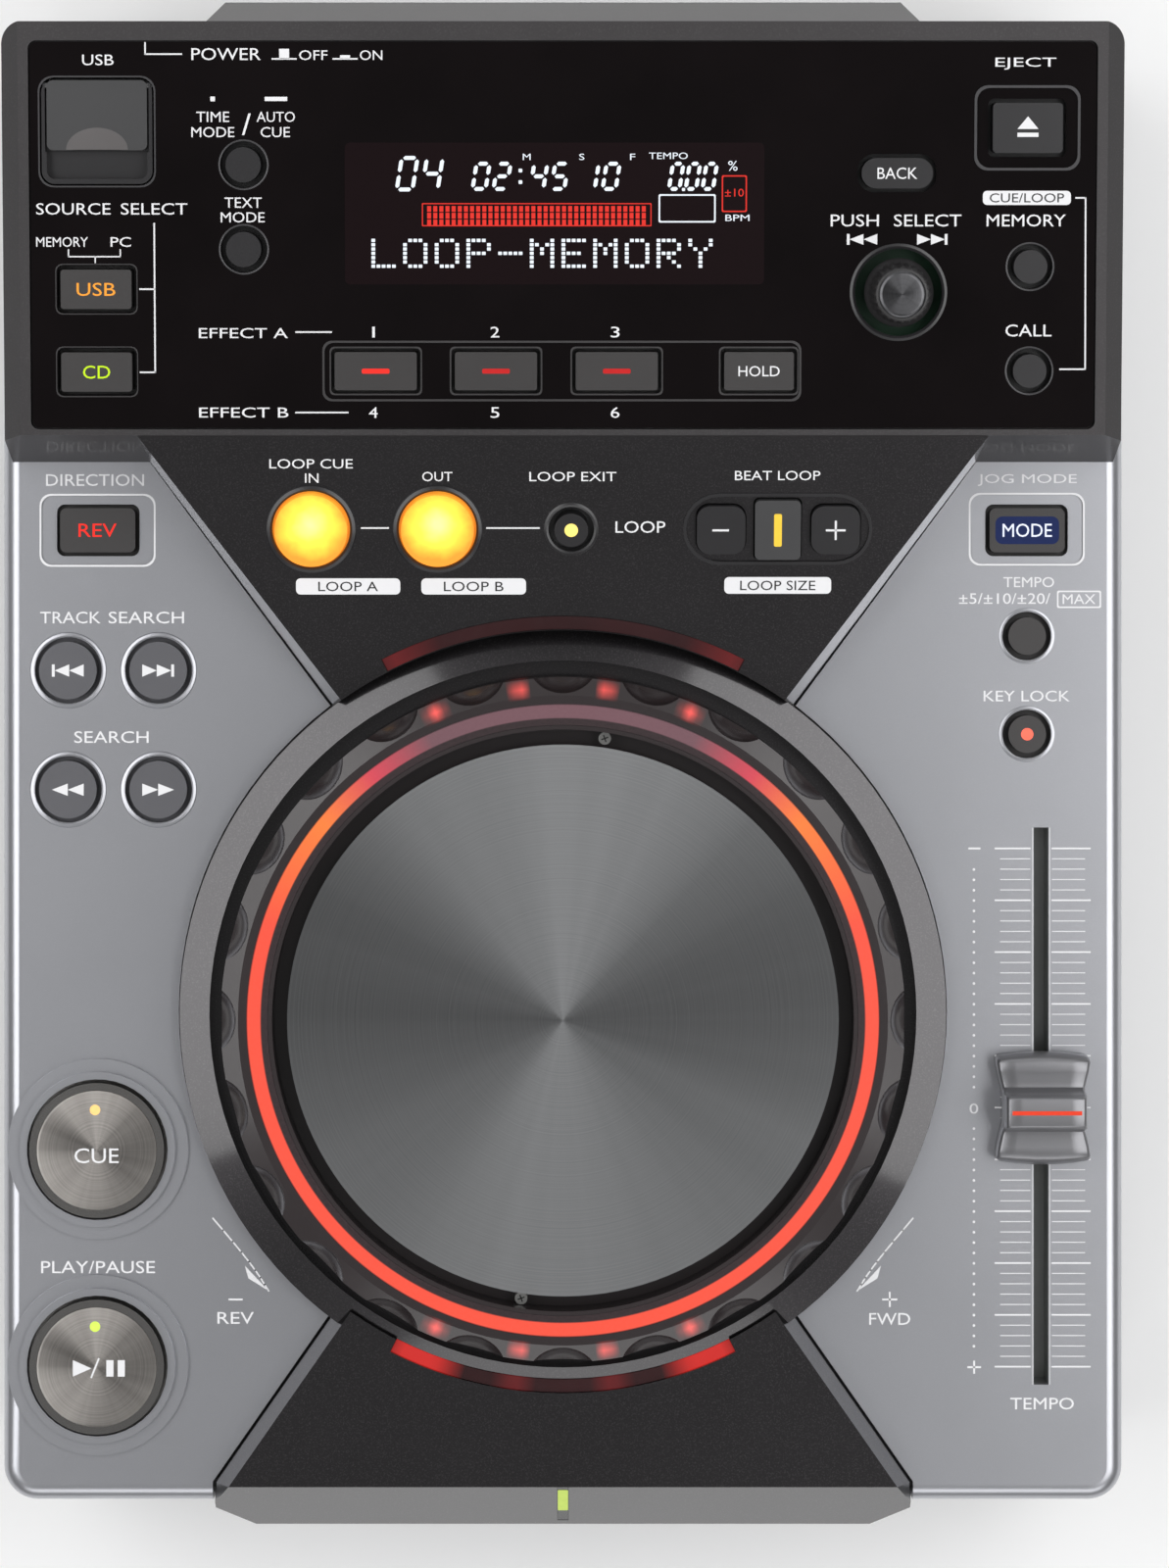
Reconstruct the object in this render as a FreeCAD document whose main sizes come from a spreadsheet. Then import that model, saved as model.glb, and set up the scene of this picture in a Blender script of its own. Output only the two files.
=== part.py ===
import FreeCAD, Part
import math
import os
import re

# Tabletop disc player for a mixing desk, seen from its front: +X right, +Y to the rear, +Z up.
# The origin is on the table, under the middle of the player. All sizes are millimetres.

doc = FreeCAD.newDocument("disc_player")
sheet = doc.addObject("Spreadsheet::Sheet", "sizes")

SIZES = {
    # Case: a moulded shell on a flat pan, standing on four feet
    "case_width": 218.4,
    "case_front": 142.6,
    "case_rear": 145.0,
    "deck_height": 75.7,
    "wall": 2.5,
    "corner_radius": 6.7,
    "edge_roll": 3.2,
    "seam_height": 14.5,
    "pan_wall": 2.0,
    "foot_height": 4.5,
    "foot_radius": 9.0,
    "foot_inset_x": 20.0,
    "foot_inset_y": 22.0,
    "part_fit": 0.25,
    "running_fit": 0.05,
    "key_play": 0.35,
    # Rear panel, set back so that its sockets stay inside the outline
    "rear_recess": 8.5,
    "rear_panel_inset": 11.2,
    "rear_panel_top": 62.0,
    "rear_plate": 1.5,
    "rear_row_height": 34.0,
    "power_button_inset": 17.0,
    "power_button_side": 9.0,
    "power_button_out": 6.0,
    "power_travel": 3.0,
    "mains_inset": 48.0,
    "mains_width": 15.8,
    "mains_height": 8.2,
    "mains_depth": 13.0,
    "mains_pin_length": 8.0,
    "mains_pin_radius": 1.2,
    "mains_pin_pitch": 8.6,
    "line_out_inset": 58.0,
    "line_out_pitch": 16.0,
    "line_out_radius": 4.2,
    "line_out_length": 8.0,
    "square_usb_inset": 18.0,
    "square_usb_side": 8.4,
    # Centre frame: funnel, jog ring and nose
    "frame_rise": 6.0,
    "ring_inset": 34.8,
    "ring_width": 5.9,
    "ring_slope": 1.9,
    "seam_gap": 0.45,
    "jog_y": -47.0,
    "funnel_foot_y": 12.3,
    "funnel_foot_half": 44.8,
    "funnel_head_inset": 28.8,
    "funnel_bevel": 3.4,
    "trapezoid_rear_y": -106.0,
    "trapezoid_rear_half": 45.0,
    "trapezoid_bevel": 3.0,
    "nose_half": 67.8,
    "nose_fold_y": -138.7,
    "nose_front": 148.6,
    "nose_clip": 7.5,
    "nose_chin_height": 52.6,
    "slot_half": 62.0,
    "slot_low": 59.8,
    "slot_high": 64.4,
    "arc_rear_gap": 0.2,
    "arc_front_gap": 2.4,
    "arc_width": 2.5,
    "arc_half_angle": 27.0,
    "arc_depth": 2.0,
    "lamp_width": 2.1,
    # Display hood
    "hood_front": 65.4,
    "hood_rise": 17.5,
    "hood_tilt": 5.0,
    "hood_rear": 143.4,
    "hood_foot_y": 60.0,
    "hood_inset": 2.0,
    "hood_bevel": 3.4,
    "hood_corner": 4.0,
    "rail_height": 0.5,
    "visor_half": 68.4,
    "visor_rear_half": 65.2,
    "visor_rear": 148.6,
    "visor_drop": 15.0,
    "window_inset": 5.4,
    "window_start": 0.6,
    "window_end": 74.7,
    "window_thickness": 1.5,
    "window_corner": 1.6,
    "display_x": -1.6,
    "display_v": 41.8,
    "display_width": 86.0,
    "display_depth": 30.0,
    "display_thickness": 6.0,
    # Keys: shared sizes
    "key_travel": 0.6,
    "flange_reach": 1.6,
    "flange_thickness": 1.0,
    "stem_radius": 1.6,
    "board_depth": 11.0,
    "board_thickness": 1.6,
    "switch_height": 3.5,
    "switch_side": 6.0,
    "small_gap": 1.1,
    "slab_gap": 0.75,
    "key_rise": 1.2,
    # Hood keys
    "time_inset": 40.9,
    "time_v": 51.1,
    "text_v": 35.0,
    "time_radius": 3.35,
    "memory_inset": 12.6,
    "memory_v": 31.7,
    "call_v": 11.8,
    "memory_radius": 3.2,
    "source_inset": 12.7,
    "usb_source_v": 27.4,
    "disc_source_v": 11.6,
    "source_length": 13.5,
    "source_width": 7.5,
    "effect_v": 11.75,
    "effect_one_x": -35.8,
    "effect_two_x": -12.8,
    "effect_three_x": 10.3,
    "effect_length": 15.7,
    "effect_width": 7.3,
    "hold_x": 37.5,
    "hold_length": 13.3,
    "strip_length": 90.8,
    "strip_width": 10.9,
    "strip_depth": 0.4,
    "back_inset": 38.1,
    "back_v": 49.5,
    "back_length": 13.6,
    "back_width": 5.8,
    "eject_inset": 13.3,
    "eject_v": 58.1,
    "eject_length": 13.3,
    "eject_width": 9.5,
    "eject_rim_length": 20.4,
    "eject_rim_width": 16.4,
    # Select knob
    "select_inset": 37.7,
    "select_v": 26.8,
    "select_well": 8.5,
    "select_skirt": 6.6,
    "select_crown": 5.5,
    "select_height": 12.0,
    "select_shaft_radius": 2.5,
    "select_travel": 0.7,
    # Loop keys on the funnel
    "loop_v": 35.4,
    "loop_in_x": -48.4,
    "loop_out_x": -24.1,
    "loop_radius": 7.0,
    "loop_collar": 8.1,
    "loop_exit_x": 1.6,
    "loop_exit_radius": 3.25,
    "loop_block_x": 41.3,
    "loop_minus_x": 30.4,
    "loop_plus_x": 52.4,
    "loop_pill_length": 35.4,
    "loop_pill_width": 13.0,
    "loop_step_length": 9.3,
    "loop_step_width": 9.4,
    "loop_block_length": 8.8,
    "loop_block_width": 11.6,
    # Deck keys
    "left_inset": 18.6,
    "cue_y": -73.8,
    "play_y": -115.9,
    "transport_radius": 13.1,
    "transport_collar": 15.1,
    "transport_boss": 17.6,
    "transport_gap": 0.6,
    "transport_rise": 3.2,
    "collar_rise": 1.8,
    "boss_rise": 0.8,
    "seek_left_inset": 12.8,
    "seek_right_inset": 30.4,
    "track_y": 19.4,
    "search_y": -3.8,
    "seek_radius": 5.6,
    "seek_gap": 0.9,
    "reverse_y": 46.7,
    "mode_length": 14.6,
    "mode_width": 8.6,
    "mode_rim_length": 22.3,
    "mode_rim_width": 14.0,
    "right_inset": 18.8,
    "range_y": 26.1,
    "lock_y": 7.0,
    "range_radius": 3.65,
    # Tempo fader
    "fader_inset": 16.0,
    "fader_y": -65.5,
    "fader_slot_width": 2.9,
    "fader_slot_length": 108.6,
    "fader_travel": 50.5,
    "fader_knob_length": 18.2,
    "fader_knob_width": 22.0,
    "fader_knob_height": 13.0,
    "fader_knob_lift": 0.8,
    "fader_lever": 1.2,
    "fader_body_width": 12.0,
    "fader_body_height": 9.0,
    # Jog wheel
    "dial_gap": 3.0,
    "dial_rim_width": 9.9,
    "rim_slope": 1.4,
    "rim_slope_width": 3.4,
    "dial_top": 20.0,
    "dial_lift": 4.5,
    "dimple_count": 24,
    "dimple_radius": 8.0,
    "dimple_reach": 4.9,
    "dimple_rise": 1.0,
    "ring_light_width": 4.9,
    "ring_light_depth": 3.0,
    "plate_gap": 2.9,
    "plate_thickness": 2.0,
    "plate_travel": 0.6,
    "spindle_radius": 8.0,
    "base_drop": 1.0,
    "web_thickness": 2.5,
    "web_drop": 8.0,
    "jog_screw_gap": 1.3,
    "jog_screw_radius": 1.2,
    # USB socket under its lid
    "lid_inset": 13.0,
    "lid_v": 60.5,
    "lid_length": 19.1,
    "lid_width": 13.3,
    "lid_thickness": 1.4,
    "lid_pin_radius": 0.6,
    "lid_pin_set_back": 1.0,
    "well_v": 57.4,
    "well_length": 21.6,
    "well_width": 20.4,
    "well_depth": 3.2,
    "port_length": 12.6,
    "port_width": 5.2,
    "port_depth": 12.0,
    "port_shell": 0.9,
    # Disc drive
    "disc_low": 61.3,
    "drive_floor": 37.0,
    "drive_plate": 1.5,
    "drive_half": 67.0,
    "drive_front": -120.0,
    "drive_rear": 32.0,
    "drive_leg_radius": 3.0,
    "motor_radius": 12.0,
    "motor_height": 12.0,
    "shaft_radius": 1.5,
    "platter_radius": 15.0,
    "platter_thickness": 1.5,
    "hub_radius": 7.4,
    "hub_height": 2.6,
    "rod_x": 20.0,
    "rod_z": 50.0,
    "rod_radius": 1.5,
    "rod_front": -37.0,
    "rod_rear": 28.0,
    "sled_length": 50.0,
    "sled_width": 20.0,
    "sled_height": 7.0,
    "sled_y": -23.5,
    "sled_travel": 35.0,
    "lens_radius": 3.5,
    "screw_x": 34.0,
    "screw_radius": 1.5,
    "roller_y": -128.0,
    "roller_radius": 4.0,
    "roller_length": 112.0,
    # Boards
    "main_board_z": 12.0,
    "main_board_length": 150.0,
    "main_board_width": 110.0,
    "main_board_inset": 89.2,
    "main_board_y": -40.0,
    "chip_side": 16.0,
    "stand_inset": 7.0,
    "supply_length": 84.0,
    "supply_width": 56.0,
    "supply_inset": 54.2,
    "supply_y": 92.0,
    "case_screw_radius": 1.5,
    "case_screw_length": 12.0,
    "post_radius": 3.5,
}

# Sizes and places that follow from others: what stands at the sides keeps its distance from the case's edge
FOLLOWS = {
    "ring_radius": "case_width / 2 - ring_inset",
    "ring_bore": "ring_radius - ring_width",
    "arc_rear_radius": "ring_radius + arc_rear_gap",
    "arc_front_radius": "ring_bore + arc_front_gap",
    "funnel_head_half": "case_width / 2 - funnel_head_inset",
    "hood_half": "case_width / 2 - hood_inset",
    "window_half": "hood_half - window_inset",
    "rear_panel_width": "case_width - 2 * rear_panel_inset",
    "power_button_x": "-(rear_panel_width / 2 - power_button_inset)",
    "mains_x": "-(rear_panel_width / 2 - mains_inset)",
    "line_out_x": "rear_panel_width / 2 - line_out_inset",
    "square_usb_x": "rear_panel_width / 2 - square_usb_inset",
    "time_x": "-(window_half - time_inset)",
    "memory_x": "window_half - memory_inset",
    "source_x": "-(window_half - source_inset)",
    "back_x": "window_half - back_inset",
    "eject_x": "window_half - eject_inset",
    "select_x": "window_half - select_inset",
    "lid_x": "-(window_half - lid_inset)",
    "left_x": "-(case_width / 2 - left_inset)",
    "seek_left_x": "-(case_width / 2 - seek_left_inset)",
    "seek_right_x": "-(case_width / 2 - seek_right_inset)",
    "right_x": "case_width / 2 - right_inset",
    "fader_x": "case_width / 2 - fader_inset",
    "dial_radius": "ring_bore - dial_gap",
    "dial_bore": "dial_radius - dial_rim_width",
    "ring_light_outer": "dial_bore + ring_light_width",
    "plate_radius": "dial_bore - plate_gap",
    "jog_screw_circle": "dial_bore - jog_screw_gap",
    "main_board_x": "case_width / 2 - main_board_inset",
    "supply_x": "-(case_width / 2 - supply_inset)",
}

for row, (alias, value) in enumerate([*SIZES.items(), *FOLLOWS.items()], start=1):
    sheet.set(f"A{row}", alias)
    sheet.set(f"B{row}", f"={value}" if alias in FOLLOWS else str(value))
    sheet.setAlias(f"B{row}", alias)
doc.recompute()

FUNNEL_TILT = "atan((hood_rise - frame_rise) / (hood_front - funnel_foot_y))"

# Each level is a plane that pieces are set on: its Y and Z at the plane's own zero, and its slope.
LEVELS = {
    "table": ("0", "0", "0"),
    "deck": ("0", "deck_height", "0"),
    "frame": ("0", "deck_height + frame_rise", "0"),
    "funnel": ("funnel_foot_y", "deck_height + frame_rise", FUNNEL_TILT),
    "hood": ("hood_front", "deck_height + hood_rise", "hood_tilt"),
}

nodes = []


def size(alias):
    return float(sheet.get(alias))


def formula(text):
    return re.sub(r"[a-z_]{3,}", lambda word: "sizes." + word[0] if word[0] in SIZES or word[0] in FOLLOWS else word[0],
                  str(text))


def bind(item, **rules):
    for name, text in rules.items():
        item.setExpression(name, formula(text))
    return item


def on_level(v, w, level):
    """Y and Z of a point that lies v up a level's slope and w above it."""
    base_y, base_z, slope = LEVELS[level]
    return (f"{base_y} + ({v}) * cos({slope}) - ({w}) * sin({slope})",
            f"{base_z} + ({v}) * sin({slope}) + ({w}) * cos({slope})")


def place(item, u, v, w, level="table"):
    """Sets a piece at u, v on a level, w above it, sloping as the level does."""
    slope = LEVELS[level][2]
    if slope != "0":
        item.Placement.Rotation = FreeCAD.Rotation(FreeCAD.Vector(1, 0, 0), 1)
        item.setExpression("Placement.Rotation.Angle", formula(slope))
    y, z = on_level(v, w, level)
    return bind(item, **{"Placement.Base.x": u, "Placement.Base.y": y, "Placement.Base.z": z})


def box(label, length, width, height, u, v, w, level="table"):
    item = bind(doc.addObject("Part::Box", label), Length=length, Width=width, Height=height)
    return place(item, f"({u}) - ({length}) / 2", f"({v}) - ({width}) / 2", w, level)


def rod(label, radius, height, u, v, w, level="table"):
    item = bind(doc.addObject("Part::Cylinder", label), Radius=radius, Height=height)
    return place(item, u, v, w, level)


def lying_rod(label, radius, length, u, v, w, along):
    """A rod along +X or +Y that starts at u, v, w."""
    item = bind(doc.addObject("Part::Cylinder", label), Radius=radius, Height=length)
    turn = (FreeCAD.Vector(0, 1, 0), 90) if along == "X" else (FreeCAD.Vector(1, 0, 0), -90)
    item.Placement.Rotation = FreeCAD.Rotation(*turn)
    return bind(item, **{"Placement.Base.x": u, "Placement.Base.y": v, "Placement.Base.z": w})


def fuse(label, *pieces):
    item = doc.addObject("Part::MultiFuse", label)
    item.Shapes = list(pieces)
    return item


def cut(label, base, *tools):
    item = doc.addObject("Part::Cut", label)
    item.Base = base
    item.Tool = tools[0] if len(tools) == 1 else fuse(label + "_tools", *tools)
    return item


def group(label, *pieces):
    item = doc.addObject("Part::Compound", label)
    item.Links = list(pieces)
    return item


def solid(label, shape):
    item = doc.addObject("Part::Feature", label)
    item.Shape = shape
    return item


def node(label, item):
    item.Label = label
    nodes.append(item)
    return item


def local(item, **rules):
    """Binds a feature inside a body; at is its own corner or centre."""
    at = rules.pop("at")
    bind(item, **rules)
    for axis, text in zip("xyz", at):
        item.setExpression("Placement.Base." + axis, formula(text))
    return item


def slab(body, name, length, width, height, w, corner=None):
    """Adds a block centred on the body's own Z axis, with its upright edges rounded."""
    core = local(body.newObject("PartDesign::AdditiveBox", name), Length=length, Width=width, Height=height,
                 at=(f"-({length}) / 2", f"-({width}) / 2", w))
    if corner:
        rounded = body.newObject("PartDesign::Fillet", name + "_corners")
        rounded.Base = (core, ["Edge1", "Edge3", "Edge5", "Edge7"])
        bind(rounded, Radius=corner)


def disc(body, name, radius, height, w):
    local(body.newObject("PartDesign::AdditiveCylinder", name), Radius=radius, Height=height, at=("0", "0", w))


def plate(label, length, width, height, corner, u, v, w, level):
    """A free rounded plate: a well, a lid, a window."""
    body = doc.addObject("PartDesign::Body", label)
    slab(body, label + "_core", length, width, height, "0", corner)
    return place(body, u, v, w, level)


PANEL = {"deck": "wall", "funnel": "wall", "hood": "wall + window_thickness"}
key_sites = []
wells = {"deck": [], "funnel": [], "hood": []}


def stem(body, label, level, u, v):
    """Flange under the panel and stem over the key's switch, common to all keys."""
    low = f"-({PANEL[level]}) - key_play - flange_thickness"
    foot = "-board_depth + switch_height + key_travel + part_fit"
    disc(body, label + "_stem", "stem_radius", f"({low}) - ({foot}) + flange_thickness / 2", foot)
    key_sites.append((label, level, u, v))
    return low


def round_key(label, level, radius, gap, rise, u, v, collar=None):
    body = doc.addObject("PartDesign::Body", label)
    low = f"-({PANEL[level]}) - key_play - flange_thickness"
    disc(body, label + "_cap", radius, f"({rise}) - ({low})", low)
    disc(body, label + "_flange", f"({radius}) + ({gap}) + flange_reach", "flange_thickness", low)
    stem(body, label, level, u, v)
    place(body, u, v, "0", level)
    wells[level].append(rod(label + "_well", f"({radius}) + ({gap})", "3 * board_depth", u, v,
                            f"-({PANEL[level]}) - key_play / 2", level))
    return node(label, body)


def slab_key(label, level, length, width, corner, rise, u, v, gap="slab_gap"):
    body = doc.addObject("PartDesign::Body", label)
    low = f"-({PANEL[level]}) - key_play - flange_thickness"
    slab(body, label + "_cap", length, width, f"({rise}) - ({low})", low, corner)
    slab(body, label + "_flange", f"({length}) + 2 * ({gap}) + 2 * flange_reach / 2",
         f"({width}) + 2 * ({gap}) + 2 * flange_reach / 2", "flange_thickness", low)
    stem(body, label, level, u, v)
    place(body, u, v, "0", level)
    wells[level].append(plate(label + "_well", f"({length}) + 2 * ({gap})", f"({width}) + 2 * ({gap})",
                              "3 * board_depth", f"({corner}) + ({gap}) / 2", u, v,
                              f"-({PANEL[level]}) - key_play / 2", level))
    return node(label, body)


# Keys in the fascia of the hood
round_key("time_key", "hood", "time_radius", "small_gap", "key_rise", "time_x", "time_v")
round_key("text_key", "hood", "time_radius", "small_gap", "key_rise", "time_x", "text_v")
round_key("memory_key", "hood", "memory_radius", "small_gap", "key_rise", "memory_x", "memory_v")
round_key("call_key", "hood", "memory_radius", "small_gap", "key_rise", "memory_x", "call_v")
slab_key("usb_source_key", "hood", "source_length", "source_width", "0.6", "key_rise", "source_x", "usb_source_v")
slab_key("cd_source_key", "hood", "source_length", "source_width", "0.6", "key_rise", "source_x", "disc_source_v")
for number, spot in enumerate(("effect_one_x", "effect_two_x", "effect_three_x"), start=1):
    slab_key(f"effect_key_{number}", "hood", "effect_length", "effect_width", "0.5", "key_rise / 2", spot, "effect_v")
slab_key("hold_key", "hood", "hold_length", "effect_width", "0.5", "key_rise / 2", "hold_x", "effect_v")
slab_key("back_key", "hood", "back_length", "back_width", "back_width / 2 - 0.05", "key_rise", "back_x", "back_v")
slab_key("eject_key", "hood", "eject_length", "eject_width", "0.8", "key_rise", "eject_x", "eject_v", "0.8")

# Keys on the funnel
round_key("loop_in_key", "funnel", "loop_radius", "loop_collar - loop_radius", "key_rise + 0.8", "loop_in_x", "loop_v")
round_key("loop_out_key", "funnel", "loop_radius", "loop_collar - loop_radius", "key_rise + 0.8", "loop_out_x", "loop_v")
round_key("loop_exit_key", "funnel", "loop_exit_radius", "small_gap", "key_rise", "loop_exit_x", "loop_v")
slab_key("loop_minus_key", "funnel", "loop_step_length", "loop_step_width", "2.5", "key_rise", "loop_minus_x", "loop_v",
         "part_fit")
slab_key("loop_plus_key", "funnel", "loop_step_length", "loop_step_width", "2.5", "key_rise", "loop_plus_x", "loop_v",
         "part_fit")

# Keys on the deck
round_key("cue_key", "deck", "transport_radius", "transport_gap", "transport_rise", "left_x", "cue_y")
round_key("play_key", "deck", "transport_radius", "transport_gap", "transport_rise", "left_x", "play_y")
round_key("track_back_key", "deck", "seek_radius", "seek_gap", "key_rise", "seek_left_x", "track_y")
round_key("track_forward_key", "deck", "seek_radius", "seek_gap", "key_rise", "seek_right_x", "track_y")
round_key("search_back_key", "deck", "seek_radius", "seek_gap", "key_rise", "seek_left_x", "search_y")
round_key("search_forward_key", "deck", "seek_radius", "seek_gap", "key_rise", "seek_right_x", "search_y")
slab_key("reverse_key", "deck", "mode_length", "mode_width", "1.2", "key_rise", "left_x", "reverse_y")
slab_key("jog_mode_key", "deck", "mode_length", "mode_width", "1.2", "key_rise", "right_x", "reverse_y")
round_key("tempo_range_key", "deck", "range_radius", "small_gap", "key_rise", "right_x", "range_y")
round_key("key_lock_key", "deck", "range_radius", "small_gap", "key_rise", "right_x", "lock_y")


def hood_point(v, w):
    slope = math.radians(size("hood_tilt"))
    y = size("hood_front") + v * math.cos(slope) - w * math.sin(slope)
    z = size("deck_height") + size("hood_rise") + v * math.sin(slope) + w * math.cos(slope)
    return y, z


def face_of(points):
    corners = [FreeCAD.Vector(*point) for point in points]
    return Part.Face(Part.makePolygon(corners + corners[:1]))


def loft_of(low, high):
    """Solid between two outlines of as many corners."""
    wires = [Part.makePolygon([FreeCAD.Vector(*p) for p in ring + ring[:1]]) for ring in (low, high)]
    return Part.makeLoft(wires, True, True)


def funnel_solid(inset, floor, drop):
    """The funnel, from floor up to drop below its sloping top, inset all round."""
    deck = size("deck_height")
    foot = size("frame_rise")
    head = size("hood_rise")
    side = (size("funnel_head_half") - size("funnel_foot_half")) / (size("hood_foot_y") - size("funnel_foot_y"))
    rise = (head - foot) / (size("hood_front") - size("funnel_foot_y"))
    near = size("funnel_foot_y") - 7.0
    low_y = size("hood_foot_y") - size("running_fit") - inset
    lip_y, lip_z = hood_point(-0.5, size("rail_height"))
    lean = (lip_y - size("hood_foot_y")) / (lip_z - deck)
    top_y = low_y + lean * (head - drop)
    low_near = size("funnel_foot_half") - side * 7.0 - inset
    low_far = size("funnel_head_half") - inset - side * inset
    bevel = size("funnel_bevel")
    top_near = low_near - bevel + 0.4
    top_far = low_far - bevel + side * (top_y - low_y) + 1.0
    z_near = deck + foot - 7.0 * rise - drop
    z_far = deck + foot + (top_y - size("funnel_foot_y")) * rise - drop
    low = [(-low_far, low_y, floor), (low_far, low_y, floor), (low_near, near, floor), (-low_near, near, floor)]
    high = [(-top_far, top_y, z_far), (top_far, top_y, z_far), (top_near, near, z_near), (-top_near, near, z_near)]
    return loft_of(low, high)


def outline_prism(grow, low, high):
    """Plan of the centre frame at deck level, grown or shrunk by grow, from low up to high."""
    side = (size("funnel_head_half") - size("funnel_foot_half")) / (size("hood_foot_y") - size("funnel_foot_y"))
    front = size("case_front") + 10.0
    slant = (size("nose_half") - size("trapezoid_rear_half")) / (size("trapezoid_rear_y") - size("nose_fold_y"))
    rear_half = size("funnel_head_half") + grow
    foot_half = size("funnel_foot_half") - side * 7.0 + grow
    foot_y = size("funnel_foot_y") - 7.0
    funnel = face_of([(-rear_half, size("hood_foot_y") + grow, low), (rear_half, size("hood_foot_y") + grow, low),
                      (foot_half, foot_y, low), (-foot_half, foot_y, low)])
    inner_y = size("trapezoid_rear_y") + 8.0
    inner_half = size("trapezoid_rear_half") - slant * 8.0 + grow
    nose = size("nose_half") + grow
    apron = face_of([(-inner_half, inner_y, low), (inner_half, inner_y, low), (nose, size("nose_fold_y"), low),
                     (nose, -front, low), (-nose, -front, low), (-nose, size("nose_fold_y"), low)])
    ring = Part.makeCylinder(size("ring_radius") + grow, high - low, FreeCAD.Vector(0, size("jog_y"), low))
    up = FreeCAD.Vector(0, 0, high - low)
    return ring.fuse([funnel.extrude(up), apron.extrude(up)]).removeSplitter()


def apron_solid(inset, floor, drop):
    """Flat part between the jog ring and the fold of the nose, with bevelled sides."""
    slant = (size("nose_half") - size("trapezoid_rear_half")) / (size("trapezoid_rear_y") - size("nose_fold_y"))
    top = size("deck_height") + size("frame_rise") - drop
    rear_y = size("trapezoid_rear_y") + 8.0
    rear_half = size("trapezoid_rear_half") - slant * 8.0 - inset
    front_y = size("nose_fold_y")
    front_half = size("nose_half") - inset
    bevel = size("trapezoid_bevel")
    low = [(-front_half, front_y, floor), (front_half, front_y, floor), (rear_half, rear_y, floor),
           (-rear_half, rear_y, floor)]
    high = [(-front_half + bevel, front_y, top), (front_half - bevel, front_y, top), (rear_half - bevel, rear_y, top),
            (-rear_half + bevel, rear_y, top)]
    return loft_of(low, high)


def nose_solid(inset, low_cut):
    """The overhanging nose: slanted front face, upright lip with the disc slot, chin below."""
    top = size("deck_height") + size("frame_rise") - inset
    fold = size("nose_fold_y")
    front = size("nose_front") - inset
    chin = size("nose_chin_height") + low_cut
    half = size("nose_half") - inset
    lip = size("slot_high") + 2.5
    back = -size("case_front") + size("wall") + 1.0
    profile = [(-half, fold, top), (-half, -front, lip), (-half, -front, chin + 3.0), (-half, -front + 3.0, chin),
               (-half, back, chin), (-half, back, size("deck_height") - size("wall")),
               (-half, fold, size("deck_height") - size("wall"))]
    body = face_of(profile).extrude(FreeCAD.Vector(2 * half, 0, 0))
    clip = size("nose_clip")
    step = size("trapezoid_bevel")
    plan = [(-half, fold + 1.0, chin), (half, fold + 1.0, chin), (half, -front + clip * 0.6, chin),
            (half - clip, -front, chin), (-half + clip, -front, chin), (-half, -front + clip * 0.6, chin)]
    body = body.common(face_of(plan).extrude(FreeCAD.Vector(0, 0, 60)))
    side = size("frame_rise") - inset
    for sign in (-1, 1):
        wedge = face_of([(sign * half, -front - 1, top + 1), (sign * (half - step * 1.17), -front - 1, top + 1),
                         (sign * half, -front - 1, top - side)])
        body = body.cut(wedge.extrude(FreeCAD.Vector(0, 60, 0)))
    return body


def centre_frame_shape():
    deck = size("deck_height")
    wall = size("wall")
    fit = size("part_fit")
    top = deck + size("frame_rise")
    centre = FreeCAD.Vector(0, size("jog_y"), deck)
    slope = size("ring_slope")
    shoulder = FreeCAD.Vector(0, size("jog_y"), top - slope)
    crown = Part.makeCone(size("ring_radius"), size("ring_bore"), slope, shoulder)
    ring = Part.makeCylinder(size("ring_radius"), size("frame_rise") - slope, centre).fuse(crown)
    funnel = funnel_solid(0.0, deck, 0.0).cut(Part.makeCylinder(size("ring_radius"), 30, shoulder).cut(crown))
    apron = apron_solid(0.0, deck, 0.0).cut(Part.makeCylinder(size("arc_front_radius"), 30, shoulder).cut(crown))
    upper = funnel.fuse([ring, apron])
    throat = outline_prism(-fit, deck - wall, deck)
    flange = outline_prism(wall, deck - wall - 2.0, deck - wall)
    limit = Part.makeBox(400, 400, 80, FreeCAD.Vector(-200, -size("case_front") + wall, deck - 40))
    body = upper.fuse([throat.common(limit), flange.common(limit), nose_solid(0.0, 0.0)])
    hollow = outline_prism(-wall - fit, deck - wall - 3.0, top - wall).common(
        Part.makeBox(400, 400, 80, FreeCAD.Vector(-200, size("nose_fold_y") + wall, deck - 40)))
    hollow = hollow.cut(ring_wall(deck, wall))
    nose_room = nose_solid(wall, 0.0).common(Part.makeBox(400, 40, 90, FreeCAD.Vector(-200, -size("nose_front"), 0)))
    backing = Part.makeCylinder(size("arc_rear_radius") + size("arc_width") + wall, 30,
                                FreeCAD.Vector(0, size("jog_y"), top - slope - wall))
    funnel_room = funnel_solid(wall, deck - wall, wall).cut([ring_wall(deck, wall), backing])
    body = body.cut([hollow.cut(backing), nose_room, funnel_room])
    bore = Part.makeCylinder(size("ring_bore"), 40, FreeCAD.Vector(0, size("jog_y"), deck - 20))
    slot = Part.makeBox(2 * size("slot_half"), 30, size("slot_high") - size("slot_low"),
                        FreeCAD.Vector(-size("slot_half"), -size("nose_front") - 5, size("slot_low")))
    return body.cut([bore, slot])


def ring_wall(deck, wall):
    """Wall round the jog bore, kept when the frame is hollowed from below."""
    foot = FreeCAD.Vector(0, size("jog_y"), deck - size("base_drop"))
    outer = Part.makeCylinder(size("ring_bore") + wall, 20, foot)
    return outer.cut(Part.makeCylinder(size("ring_bore") - 1, 20, foot))


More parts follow.
